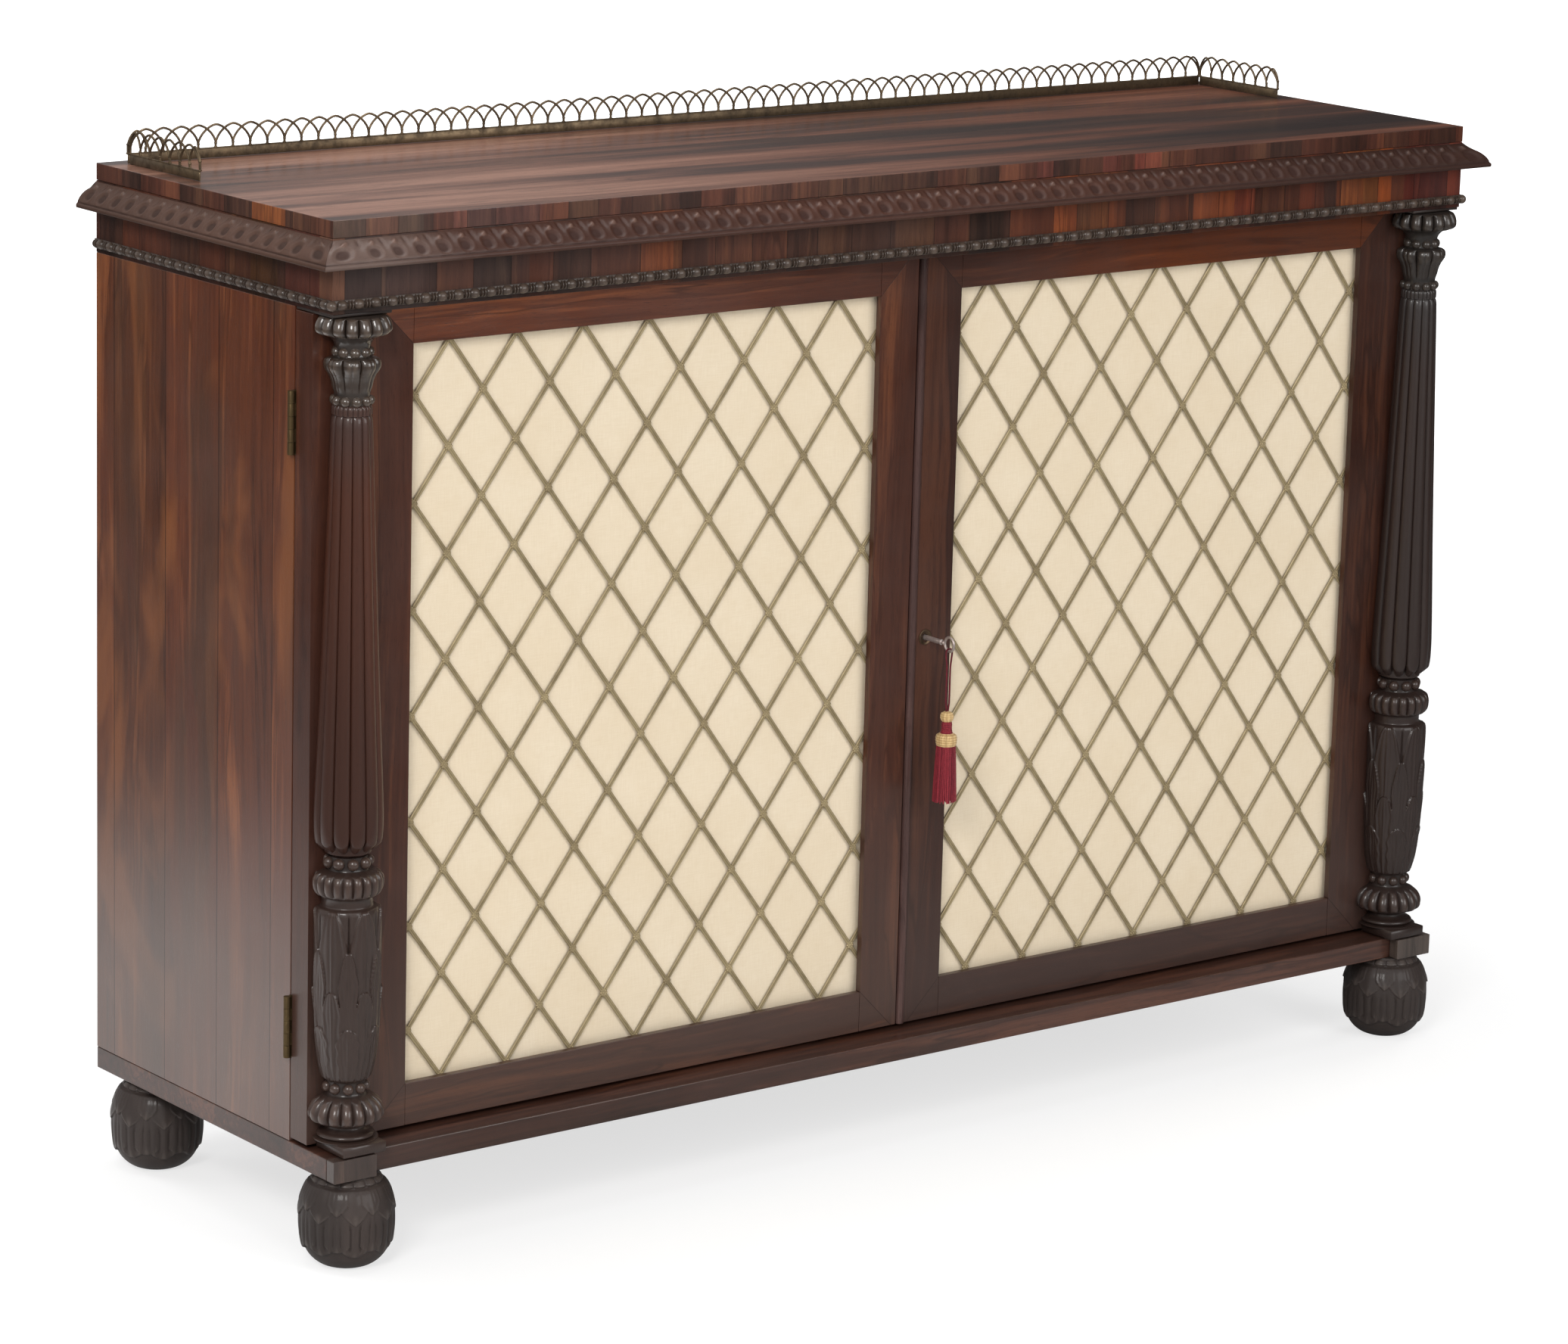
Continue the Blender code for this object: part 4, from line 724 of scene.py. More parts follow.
def cloth_material():
    """Cream plain weave: warp and weft threads 0.6 mm apart, with a faint mottling."""
    n = Nodes("cream_cloth")
    p = n.place()
    x, y, z = n.parts(p)
    k = TAU / 0.0011
    a = n.math("SINE", n.math("MULTIPLY", x, k))
    b = n.math("SINE", n.math("MULTIPLY", z, k))
    weave = n.math("MULTIPLY", a, b)
    slub = n.noise(n.join(n.math("MULTIPLY", x, 900.0), 0.0, n.math("MULTIPLY", z, 60.0)), 1.0, 3.0, 0.6)
    slub2 = n.noise(n.join(n.math("MULTIPLY", x, 60.0), 3.0, n.math("MULTIPLY", z, 900.0)), 1.0, 3.0, 0.6)
    blotch = n.noise(n.vec("MULTIPLY", p, (13.0, 13.0, 13.0)), 1.0, 4.0, 0.6)
    base = n.mix(n.span(blotch, 0.3, 0.72), (0.748, 0.649, 0.499), (0.709, 0.600, 0.443))
    threads = n.math("ADD", slub, slub2)
    base = n.mix(n.span(threads, 0.8, 1.25, 0.0, 0.28), base, (0.600, 0.470, 0.300))
    base = n.mix(n.span(weave, -1.0, 1.0, 0.10, 0.0), base, (0.480, 0.370, 0.240))
    low = n.math("ADD", n.math("MULTIPLY", weave, 0.5), threads)
    return n.finish(base, 0.88, n.bump(low, 0.00012, 0.5), sheen=0.15, specular=0.2)


def thread_material(name, dark, mid, light, pitch=0.0011, slant=1.0):
    """Silk thread: fine twisted strands that run round the piece on a slant."""
    n = Nodes(name)
    p = n.place()
    x, y, z = n.parts(p)
    turn = n.math("ARCTAN2", n.math("SUBTRACT", y, BOW_Y), n.math("SUBTRACT", x, KEY_X))
    wave = n.math("SINE", n.math("ADD", n.math("MULTIPLY", z, TAU / pitch * slant), n.math("MULTIPLY", turn, 9.0)))
    fuzz = n.noise(n.vec("MULTIPLY", p, (900.0, 900.0, 260.0)), 1.0, 3.0, 0.6)
    lift = n.value("lift")
    f = n.math("ADD", n.math("MULTIPLY", fuzz, 0.55), n.math("MULTIPLY", lift, 0.45))
    base = n.ramp(f, [(0.25, dark), (0.50, mid), (0.78, light)])
    base = n.mix(n.span(wave, 0.2, -1.0, 0.0, 0.45), base, dark)
    return n.finish(base, 0.62, n.bump(n.math("ADD", wave, fuzz), 0.00012, 0.6), sheen=0.10, specular=0.25)


cream = cloth_material()
crimson = thread_material("crimson_silk", (0.085, 0.005, 0.011), (0.225, 0.012, 0.024), (0.350, 0.034, 0.048))
gold = thread_material("gold_thread", (0.260, 0.150, 0.055), (0.560, 0.380, 0.170), (0.780, 0.600, 0.330), pitch=0.0009, slant=0.0)


# ---------------------------------------------------------------- cord, tassel
def cord_route():
    """One loop over the ring of the key, down both sides to the knot."""
    foot_half = CORD_D / 2 + 0.0001
    loop_half = 0.0036
    loop_top = KEY_Z - BOW_R + BOW_WIRE + 0.0004 + CORD_D / 2
    centre = loop_top - loop_half
    rise = []
    for k in range(24):
        t = k / 23
        # the strands part over the knot, hang side by side, and open again round the ring
        a, b = min(1.0, t / 0.14), max(0.0, (t - 0.72) / 0.28)
        half = foot_half + (0.0020 - foot_half) * a * a * (3 - 2 * a) + (loop_half - 0.0020) * b * b * (3 - 2 * b)
        rise.append((half, KNOT_TOP + (centre - KNOT_TOP) * t))
    over = [(loop_half * math.cos(math.pi * k / 24), centre + loop_half * math.sin(math.pi * k / 24)) for k in range(1, 24)]
    # inside the tassel both strands run on down through its knot and band
    inside = [(foot_half, KNOT_TOP - 0.032 + 0.004 * k) for k in range(8)]
    rise = inside + rise
    route = rise + over + [(-x, z) for x, z in reversed(rise)]
    return [(KEY_X + x, BOW_Y, z) for x, z in route]


def make_cord():
    route = cord_route()
    curve = bpy.data.curves.new("tassel_cord_silk", "CURVE")
    curve.dimensions = "3D"
    curve.bevel_depth = CORD_D / 2
    curve.bevel_resolution = 3
    curve.use_fill_caps = True
    spline = curve.splines.new("POLY")
    spline.points.add(len(route) - 1)
    for point, place in zip(spline.points, route):
        point.co = (*place, 1.0)
    curve.materials.append(crimson)
    made = bpy.data.objects.new("tassel_cord_silk", curve)
    bpy.context.scene.collection.objects.link(made)
    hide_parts("tassel_cord")
    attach(made, "hanging_tassel")
    length = sum(math.dist(a, b) for a, b in zip(route, route[1:]))
    return made, route, length


def make_tassel():
    shape = Shape()
    c = (KEY_X, BOW_Y, KNOT_TOP)
    # the knot: two plaited bands of gold over a round core
    def plait(r, z, th):
        wave = np.sin(9 * th + z * 1500) * np.sin(9 * th - z * 1500)
        return r + 0.00035 * wave, 0.55 + 0.4 * wave
    knot = spaced(soften([(0.0008, -0.0004), (0.0036, -0.0008), (0.0060, -0.0030), (0.0064, -0.0054), (0.0059, -0.0078), (0.0042, -0.0102)], 2), 0.0007)
    turned(shape, c, knot, 54, plait, mark=1, close=True)
    # the neck
    def bound(r, z, th):
        wave = np.cos(z * TAU / 0.0011)
        return r + 0.0002 * wave, 0.5 + 0.4 * wave
    neck = spaced(soften([(0.0042, -0.0096), (0.0050, -0.0120), (0.0048, -0.0170), (0.0058, -0.0212)], 1), 0.00028)
    turned(shape, c, neck, 36, bound, mark=0, close=True)
    # the gold band
    def rows(r, z, th):
        wave = np.cos(z * TAU / 0.0023) * 0.6 + 0.4 * np.sin(26 * th)
        return r + 0.0003 * wave, 0.5 + 0.4 * wave
    band = spaced(soften([(0.0050, -0.0206), (0.0090, -0.0222), (0.0099, -0.0250), (0.0099, -0.0292), (0.0089, -0.0328), (0.0065, -0.0338)], 2), 0.0006)
    turned(shape, c, band, 78, rows, mark=1, close=True)
    # the skirt: a core, and the hanging strands round it
    core = spaced(soften([(0.0070, -0.0325), (0.0084, -0.0400), (0.0096, -0.0600), (0.0100, -0.0835), (0.0060, -0.0840)], 1), 0.004)
    turned(shape, c, core, 30, mark=0, close=True)
    local = np.random.default_rng(52)
    count = 46
    for k in range(count):
        a = k / count * TAU + local.uniform(-0.03, 0.03)
        z = np.linspace(-0.0325, -0.0852 + local.uniform(-0.0004, 0.0012), 12)
        t = (z - z[0]) / (z[-1] - z[0])
        r = 0.0090 + 0.0024 * t ** 0.8 - 0.0005 + local.uniform(-0.0003, 0.0001)
        sway = 0.0006 * np.sin(t * 3.0 + local.uniform(0, TAU)) * t
        path = np.stack([c[0] + r * np.cos(a) - sway * np.sin(a), c[1] + r * np.sin(a) + sway * np.cos(a), c[2] + z], -1)
        tube(shape, path, 0.00062, 6, mark=0, lift=local.uniform(0.25, 0.95))
    made = shape.object("tassel_silk", [crimson, gold], 50)
    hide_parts("tassel")
    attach(made, "hanging_tassel")
    return made


cord, route, cord_length = make_cord()
tassel = make_tassel()


# --------------------------------------------------------------- light, ground
def light(name, where, target, size, power, colour=(1.0, 1.0, 1.0)):
    data = bpy.data.lights.new(name, "AREA")
    data.shape = "RECTANGLE"
    data.size, data.size_y = size
    data.energy = power
    data.color = colour
    made = bpy.data.objects.new(name, data)
    bpy.context.scene.collection.objects.link(made)
    made.location = where
    made.rotation_euler = (Vector(target) - Vector(where)).to_track_quat("-Z", "Y").to_euler()
    return made


light("key_light", (-3.1, -2.3, 2.6), (0.0, 0.0, 0.45), (1.3, 1.1), 92.0, (1.0, 0.98, 0.96))
light("fill_light", (0.9, -3.6, 1.8), (0.0, 0.0, 0.45), (2.6, 1.8), 58.0)
light("top_light", (-0.3, 0.4, 3.4), (0.0, 0.0, 0.4), (2.4, 2.0), 50.0)
# this one reaches only the right side and the inside of the open doors
light("side_light", (3.7, 0.9, 1.7), (0.3, 0.0, 0.5), (1.6, 1.6), 46.0).visible_glossy = False
# this one lights the back, and leaves no glare on the polished top
light("back_light", (-2.2, 2.8, 2.1), (0.0, 0.0, 0.4), (1.8, 1.4), 40.0).visible_glossy = False


def make_world():
    """White behind the cabinet; as a source it is bright on the left and falls away to the right."""
    world = bpy.data.worlds.new("studio")
    bpy.context.scene.world = world
    world.use_nodes = True
    tree = world.node_tree
    tree.nodes.clear()
    out = tree.nodes.new("ShaderNodeOutputWorld")
    mix = tree.nodes.new("ShaderNodeMixShader")
    path = tree.nodes.new("ShaderNodeLightPath")
    seen = tree.nodes.new("ShaderNodeBackground")
    lit = tree.nodes.new("ShaderNodeBackground")
    where = tree.nodes.new("ShaderNodeTexCoord")
    parts = tree.nodes.new("ShaderNodeSeparateXYZ")
    fall = tree.nodes.new("ShaderNodeMapRange")
    fall.interpolation_type = "SMOOTHSTEP"
    for socket, value in zip(fall.inputs[1:5], (0.31, 0.71, 0.50, 0.03)):
        socket.default_value = value
    seen.inputs[0].default_value = (1, 1, 1, 1)
    seen.inputs[1].default_value = 1.0
    lit.inputs[0].default_value = (1.0, 1.0, 1.0, 1)
    tree.links.new(where.outputs["Generated"], parts.inputs[0])
    tree.links.new(parts.outputs[0], fall.inputs[0])
    tree.links.new(fall.outputs[0], lit.inputs[1])
    tree.links.new(path.outputs["Is Camera Ray"], mix.inputs[0])
    tree.links.new(lit.outputs[0], mix.inputs[1])
    tree.links.new(seen.outputs[0], mix.inputs[2])
    tree.links.new(mix.outputs[0], out.inputs[0])


make_world()


def make_floor():
    """A plain white floor, evenly bright to the camera; in reflections a painted pool of light glows to the left of the
    cabinet and behind, and the front is painted dark.
    """
    n = Nodes("studio_floor")
    p = n.place()
    cloud = n.noise(n.vec("MULTIPLY", p, (3.0, 3.0, 3.0)), 1.0, 2.0, 0.5)
    near = n.span(n.vec("DISTANCE", p, (0.0, 0.0, 0.0)), 1.6, 4.2, 1.0, 0.0, soft=True)
    pool = n.span(n.vec("DISTANCE", p, (-0.95, 0.40, 0.0)), 0.30, 1.15, 1.0, 0.0, soft=True)
    tone = n.mix(cloud, (0.80, 0.80, 0.80), (0.82, 0.82, 0.82))
    tone = n.mix(near, (0.10, 0.10, 0.10), tone)
    plain = n.node("ShaderNodeBsdfDiffuse")
    glow = n.node("ShaderNodeEmission")
    glow.inputs["Color"].default_value = (1, 1, 1, 1)
    path = n.node("ShaderNodeLightPath")
    # painted reflection: for glossy rays the floor is dark in front and away from the pool
    front = n.span(n.vec("LENGTH", n.vec("MULTIPLY", n.vec("ADD", p, (0.0, 0.45, 0.0)), (0.55, 1.0, 1.0))), 0.25, 0.85, 0.42, 0.0, soft=True)
    away = n.math("MULTIPLY", path.outputs["Is Glossy Ray"], n.math("SUBTRACT", 1.0, n.math("MAXIMUM", pool, front)))
    dim = n.math("ADD", n.math("MULTIPLY", away, 0.78), n.math("MULTIPLY", path.outputs["Is Camera Ray"], 0.58))
    n.put(plain.inputs["Color"], n.mix(dim, tone, (0.0, 0.0, 0.0)))
    seen = n.math("MULTIPLY", path.outputs["Is Camera Ray"], n.math("ADD", FLOOR_GLOW, n.math("SUBTRACT", 1.0, near)))
    shine = n.math("MULTIPLY", path.outputs["Is Glossy Ray"], n.math("MULTIPLY", pool, POOL_GLOW))
    n.put(glow.inputs["Strength"], n.math("ADD", seen, shine))
    both = n.node("ShaderNodeAddShader")
    n.tree.links.new(plain.outputs[0], both.inputs[0])
    n.tree.links.new(glow.outputs[0], both.inputs[1])
    n.tree.links.new(both.outputs[0], n.out.inputs["Surface"])
    mesh = bpy.data.meshes.new("floor")
    s = 12.0
    mesh.from_pydata([(-s, -s, 0), (s, -s, 0), (s, s, 0), (-s, s, 0)], [], [(0, 1, 2, 3)])
    mesh.materials.append(n.material)
    made = bpy.data.objects.new("floor", mesh)
    bpy.context.scene.collection.objects.link(made)


FLOOR_GLOW = 0.68
POOL_GLOW = 0.15
make_floor()


# ------------------------------------------------------------ the CAD's boards
def dress(name, material, edge=0.0006, segments=2):
    """Gives a board its finish, and takes its sharp edges off."""
    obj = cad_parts[name]
    obj.data.materials.clear()
    obj.data.materials.append(material)
    weld = obj.modifiers.new("weld", "WELD")
    weld.merge_threshold = 0.00001
    if edge:
        bevel = obj.modifiers.new("edges", "BEVEL")
        bevel.width = edge
        bevel.segments = segments
        bevel.limit_method = "ANGLE"
        bevel.angle_limit = math.radians(35)
        bevel.use_clamp_overlap = True
    return obj


dress("frieze_front", rose_frieze_x, 0.0005)
dress("frieze_left", rose_frieze_y, 0.0005)
dress("frieze_right", rose_frieze_y, 0.0005)
dress("side_panel_left", rose_side, 0.0004)
dress("side_panel_right", rose_side, 0.0004)
dress("base_board", rose_base, 0.0008)
for side in ("left", "right"):
    dress(f"plinth_block_{side}", plain_dark if side == "left" else plain_grey, 0.0008)
    wood = rose_left_door if side == "left" else rose_right_door
    for member in ("hinge_stile", "meeting_stile", "top_rail", "bottom_rail"):
        dress(f"{side}_{member}", wood, 0.0005)
    for height in ("upper", "lower"):
        for part in ("case", "door"):
            dress(f"{side}_{height}_{part}_leaf", fitting_brass, 0.0002)
dress("meeting_bead", bead_rose, 0.0003)
dress("soffit_board", pine_x, 0.0006)
dress("bottom_board", pine_x, 0.0006)
dress("shelf", mahogany_x, 0.0010)
dress("shelf_bearer_left", pine_y, 0.0006)
dress("shelf_bearer_right", pine_y, 0.0006)
dress("lock_case", fitting_brass, 0.0004)
dress("lock_bolt", steel, 0.0003)
dress("top_flush_bolt", fitting_brass, 0.0003)
dress("bottom_flush_bolt", fitting_brass, 0.0003)


def top_board_material():
    """Long grain on the upper face, crossbanding on the edges."""
    n = Nodes("rosewood_top_board")
    p = n.place()
    x, y, z = n.parts(p)
    nx, ny, nz = n.parts(n.facing())
    flat = n.math("GREATER_THAN", n.math("ABSOLUTE", nz), 0.6)
    side = n.math("GREATER_THAN", n.math("ABSOLUTE", nx), 0.7)
    along = n.mix(side, x, y, "FLOAT")
    colour, border = n.cells(n.math("DIVIDE", along, 0.034), 0.75)
    r, g, b = n.parts(colour)
    across = n.vec("ADD", n.join(z, along, 0.0), n.join(n.math("MULTIPLY", r, 3.0), n.math("MULTIPLY", g, 3.0), n.math("MULTIPLY", b, 2.0)))
    q = n.mix(flat, across, grain_place(n, p, "x"), "VECTOR")
    broad, rings, streak, pores = grain(n, q, 0.8, 4.0)
    f = n.span(n.math("ADD", broad, n.math("MULTIPLY", n.math("SUBTRACT", streak, 0.5), 0.55)), 0.30, 0.70)
    band = n.noise(n.vec("MULTIPLY", p, (0.9, 17.0, 17.0)), 1.0, 2.0, 0.45, 0.25)
    f2 = n.math("ADD", n.math("MULTIPLY", f, 0.45), n.math("MULTIPLY", n.span(band, 0.36, 0.66), 0.65))
    # painted shade: the light stripes thin out, darken and redden to the right
    away = n.span(x, -0.45, 0.35, 0.0, 1.0, soft=True)
    f2 = n.math("SUBTRACT", f2, n.math("MULTIPLY", away, 0.20))
    pale = n.ramp(f2, [(0.12, (0.026, 0.013, 0.011)), (0.42, (0.052, 0.025, 0.019)), (0.66, (0.155, 0.070, 0.047)), (0.95, (0.310, 0.160, 0.112))])
    ruddy = n.ramp(f2, [(0.05, (0.022, 0.011, 0.009)), (0.40, (0.050, 0.022, 0.015)), (0.62, (0.120, 0.042, 0.024)), (0.90, (0.210, 0.078, 0.044))])
    top = n.mix(away, pale, ruddy)
    edge = n.ramp(f, [(0.0, (0.030, 0.012, 0.008)), (0.5, (0.075, 0.028, 0.018)), (1.0, (0.140, 0.056, 0.030))])
    warm = n.ramp(r, [(0.20, (0.78, 0.86, 0.88)), (0.5, (1.0, 0.97, 0.95)), (0.80, (1.22, 1.05, 0.98))])
    edge = n.mix(1.0, edge, warm, blend="MULTIPLY")
    # painted shade: the edges darker towards the right
    edge = n.mix(n.span(x, 0.05, 0.55, 0.0, 0.75, soft=True), edge, n.mix(1.0, edge, (0.66, 0.58, 0.52), blend="MULTIPLY"))
    on_left = n.math("GREATER_THAN", n.math("MULTIPLY", nx, -1.0), 0.7)
    on_front = n.math("SUBTRACT", 1.0, side)
    for where, v, a, b, colour in (
        (on_left, y, -0.1035, -0.0515, (3.30, 2.30, 1.10)),
        (on_front, x, 0.1098, 0.1360, (1.75, 1.50, 1.75)),
        (on_front, x, 0.1889, 0.2101, (1.75, 1.30, 1.45)),
        (on_front, x, 0.2276, 0.2602, (1.85, 1.35, 1.45)),
        (on_front, x, -0.655, -0.560, (1.35, 1.85, 2.00)),
        (on_front, x, -0.530, -0.440, (1.20, 1.25, 1.55)),
    ):
        inside = n.math("MULTIPLY", n.span(v, a - 0.0004, a + 0.0004), n.span(v, b - 0.0004, b + 0.0004, 1.0, 0.0))
        share = n.math("MULTIPLY", n.math("MULTIPLY", inside, where), 0.85)
        edge = n.mix(share, edge, n.mix(1.0, edge, colour, blend="MULTIPLY"))
    seam = n.span(n.math("MULTIPLY", border, 0.034), 0.0001, 0.0006, 0.7, 0.0)
    edge = n.mix(seam, edge, (0.006, 0.003, 0.002))
    base = n.mix(flat, edge, top)
    line = n.math("MULTIPLY", n.span(rings, 0.0, 0.16, 1.0, 0.0, soft=True), n.span(streak, 0.35, 0.65, 0.25, 1.0))
    base = n.mix(n.math("MULTIPLY", line, 0.5), base, (0.010, 0.005, 0.004))
    pore = n.span(pores, 0.60, 0.72)
    base = n.mix(n.math("MULTIPLY", pore, 0.5), base, (0.008, 0.004, 0.003))
    wear = n.noise(n.vec("MULTIPLY", p, (5.0, 7.0, 7.0)), 1.0, 4.0, 0.6)
    smear = n.noise(n.vec("MULTIPLY", p, (26.0, 26.0, 26.0)), 1.0, 3.0, 0.6)
    rough = n.math("ADD", n.span(wear, 0.3, 0.7, 0.27, 0.38), n.math("MULTIPLY", smear, 0.06))
    low = n.math("ADD", n.math("ADD", n.math("MULTIPLY", pore, -0.6), n.math("MULTIPLY", streak, 0.3)), wear)
    return n.finish(base, rough, n.bump(low, 0.00004, 0.5), coat=0.42, coat_rough=0.17, specular=0.42)


dress("top_board", top_board_material(), 0.0005, 2)


# ----------------------------------------------------------- runs of moulding
def on_front(s, out, z):
    return np.stack([s, Y0 - out, z], -1)


def on_left(s, out, z):
    return np.stack([-HALF - out, s, z], -1)


def on_right(s, out, z):
    return np.stack([HALF + out, s, z], -1)


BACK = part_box("top_board")[1].y
RUNS = {
    "front": (on_front, -HALF, HALF, (True, True)),
    "left": (on_left, Y0, BACK, (True, False)),
    "right": (on_right, Y0, BACK, (True, False)),
}


def run_along(shape, place, s, out, z, lift):
    """A closed section swept along a run: s, out, z and lift are arrays of stations by section points."""
    rows, cols = out.shape
    points = place(s, out, z).reshape(-1, 3)
    n = rows * cols
    i = np.arange(cols)
    k = (i + 1) % cols
    last = (rows - 1) * cols
    ends = np.stack([points[:cols].mean(0), points[last:].mean(0)])
    shape.add(
        np.vstack([points, ends]),
        [
            grid_faces(rows, cols, wrap=True),
            np.stack([i, k, np.full(cols, n)], -1),
            np.stack([last + k, last + i, np.full(cols, n + 1)], -1),
        ],
        0,
        np.concatenate([lift.ravel(), [0.3, 0.3]]),
    )


def gadroon_run(word):
    """Carved hollows side by side, each with a raised rim, a tongue and a berry between, over a square fillet."""
    place, s0, s1, corners = RUNS[word]
    head = np.array([(0.0004, 0.87322), (0.0172, 0.87335), (0.0196, 0.87365), (0.0204, 0.87430), (0.0205, 0.87560), (0.0204, 0.87690), (0.0198, 0.87750)])
    slope = np.array(
        [
            (0.0198, 0.87750), (0.0190, 0.87780), (0.0188, 0.87960), (0.0172, 0.88260), (0.0142, 0.88600),
            (0.0102, 0.88910), (0.0060, 0.89190), (0.0030, 0.89380), (0.0004, 0.89560),
        ]
    )
    tail = spaced(soften(slope, 2), 0.0009)
    loop = np.vstack([head[:-1], tail])
    start = len(head) - 1
    step = np.linalg.norm(np.diff(loop[start:], axis=0), axis=1)
    t = np.concatenate([np.full(start, -0.1), np.concatenate([[0], np.cumsum(step)]) / step.sum()])
    tangent = np.gradient(loop, axis=0)
    tangent /= np.maximum(np.linalg.norm(tangent, axis=1), 1e-9)[:, None]
    normal = np.stack([tangent[:, 1], -tangent[:, 0]], -1)
    length = s1 - s0
    count = round(length / 0.0224)
    per = 26
    stations = count * per + 1
    w = np.linspace(0, count, stations)
    u = 2 * (w % 1.0) - 1
    u[-1] = 1.0
    u, tt = np.meshgrid(u, t, indexing="ij")
    a = np.abs(u)
    # a hollow with a flat foot, a ridge round it that runs up into a berry, and a nick between
    deep = np.where(tt < 0.36, (tt - 0.36) / 0.27, (tt - 0.36) / 0.30)
    oval = (np.abs(u / 0.66) ** 2.4 + np.abs(deep) ** 2.4) ** (1 / 2.4)
    rim = np.exp(-(((oval - 1.05) / 0.20) ** 2))
    hollow = smooth(1.02, 0.45, oval)
    lean = u - 0.9 * (tt - 0.74)
    berry = np.exp(-((lean / 0.22) ** 2 + ((tt - 0.76) / 0.11) ** 2))
    nick = np.exp(-(((a - 1.0) / 0.16) ** 2 + ((tt - 0.80) / 0.20) ** 2))
    live = smooth(0.03, 0.10, tt) * smooth(1.0, 0.94, tt)
    h = (0.0002 * rim - 0.0016 * hollow + 0.0017 * berry - 0.0013 * nick) * live
    lift = np.clip(0.54 + 0.14 * rim - 0.44 * hollow + 0.50 * berry - 0.36 * nick, 0, 1)
    lift = np.where(tt < 0, 0.62, 0.55 + (lift - 0.55) * live)
    # the quirk over the fillet is painted dark: painted shadow
    lift = np.where((tt > 0.01) & (tt < 0.07), 0.16, lift)
    out = loop[None, :, 0] + h * normal[None, :, 0]
    z = loop[None, :, 1] + h * normal[None, :, 1]
    out = np.clip(out, 0.0003, 0.0208)
    s = np.broadcast_to((s0 + w / count * length)[:, None], out.shape).copy()
    # the last leaf before a corner spreads to the mitre
    reach = 0.034
    if corners[0]:
        s -= (out - 0.0001) * (1 - smooth(0, reach, s - s0))
    if corners[1]:
        s += (out - 0.0001) * (1 - smooth(0, reach, s1 - s))
    shape = Shape()
    run_along(shape, place, s, out, z, lift)
    made = shape.object(f"gadroon_{word}_carving", carved_x if word == "front" else carved_y, 60)
    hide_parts(f"gadroon_{word}")
    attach(made, "case")


def bead_run(word):
    """Bead and reel: a long bead and two thin reels, over and over, on a small fillet."""
    place, s0, s1, corners = RUNS[word]
    middle = 0.8410
    start = s0 + 0.0032
    end = s1 - 0.0032 if corners[1] else s1
    pitch = (end - start) / round((end - start) / 0.0165)
    count = round((end - start) / pitch)
    # stations through one bead and its reels, as shares of the pitch
    shares, radii, lifts = [], [], []
    for k in range(11):
        q = -1 + 2 * k / 10
        shares.append(0.30 + 0.30 * q)
        radii.append(0.0018 + 0.0026 * math.sqrt(max(0.0, 1 - q * q)))
        lifts.append(0.30 + 0.55 * math.sqrt(max(0.0, 1 - q * q)))
    for middle_share in (0.715, 0.885):
        for q in (-1.0, -0.55, 0.0, 0.55, 1.0):
            shares.append(middle_share + 0.066 * q)
            radii.append(0.0018 + 0.0020 * math.sqrt(max(0.0, 1 - abs(q) ** 2.5)))
            lifts.append(0.30 + 0.42 * math.sqrt(max(0.0, 1 - q * q)))
    shares, radii, lifts = np.array(shares), np.array(radii), np.array(lifts)
    s = np.concatenate([start + (k + shares) * pitch for k in range(count)] + [[end]])
    r = np.concatenate([np.tile(radii, count), [0.0009]])
    lift = np.concatenate([np.tile(lifts, count), [0.1]])
    phi = np.radians(np.linspace(-105, 105, 11))
    out = 0.0014 + r[:, None] * np.cos(phi)[None, :]
    z = middle + r[:, None] * np.sin(phi)[None, :]
    out = np.maximum(out, 0.0006)
    shape = Shape()
    run_along(shape, place, np.broadcast_to(s[:, None], out.shape), out, z, np.broadcast_to(lift[:, None], out.shape))
    # the fillet behind, to the corners
    a = s0 - 0.0012 if corners[0] and word == "front" else s0
    b = s1 + 0.0012 if corners[1] and word == "front" else s1
    ss = np.array([a, b])
    edge = np.array([(0.0004, middle - 0.0043), (0.0014, middle - 0.0043), (0.0018, middle - 0.0038), (0.0018, middle + 0.0038), (0.0014, middle + 0.0043), (0.0004, middle + 0.0043)])
    run_along(shape, place, np.broadcast_to(ss[:, None], (2, 6)), np.broadcast_to(edge[None, :, 0], (2, 6)), np.broadcast_to(edge[None, :, 1], (2, 6)), np.full((2, 6), 0.35))
    if word == "front":
        for x in (-HALF, HALF):
            ball(shape, (x + math.copysign(0.0014, x), Y0 - 0.0014, middle), (0.0044,) * 3, 10, 16, lift=0.9)
    made = shape.object(f"bead_{word}_carving", bead_wood, 50)
    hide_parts(f"bead_{word}")
    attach(made, "case")


for word in ("front", "left", "right"):
    gadroon_run(word)
    bead_run(word)


def make_packing():
    """Thin strips under the frieze's ends, which close the sight line over the doors and the side panels."""
    for side, sign in (("left", -1), ("right", 1)):
        shape = Shape()
        a, b = sorted((sign * 0.5900, sign * 0.6490))
        board(shape, (a, Y0 + 0.0012, 0.83045), (b, -0.1200, 0.8334), 0.0004, lift=0.4)
        a, b = sorted((sign * 0.6306, sign * 0.6496))
        board(shape, (a, -0.1190, 0.8322), (b, BACK - 0.0008, 0.8334), 0.0002, lift=0.4)
        made = shape.object(f"{side}_packing_strip", foot_wood, 50)
        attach(made, "case")


make_packing()


# -------------------------------------------------------------- carved columns
def lobes(th, count, phase=0.0):
    """Across each of count lobes: -1 to 1, and a round height from 0 in the groove to 1."""
    u = 2 * ((th * count / TAU + phase) % 1.0) - 1
    return u, np.sqrt(np.clip(1 - u * u, 0, 1))


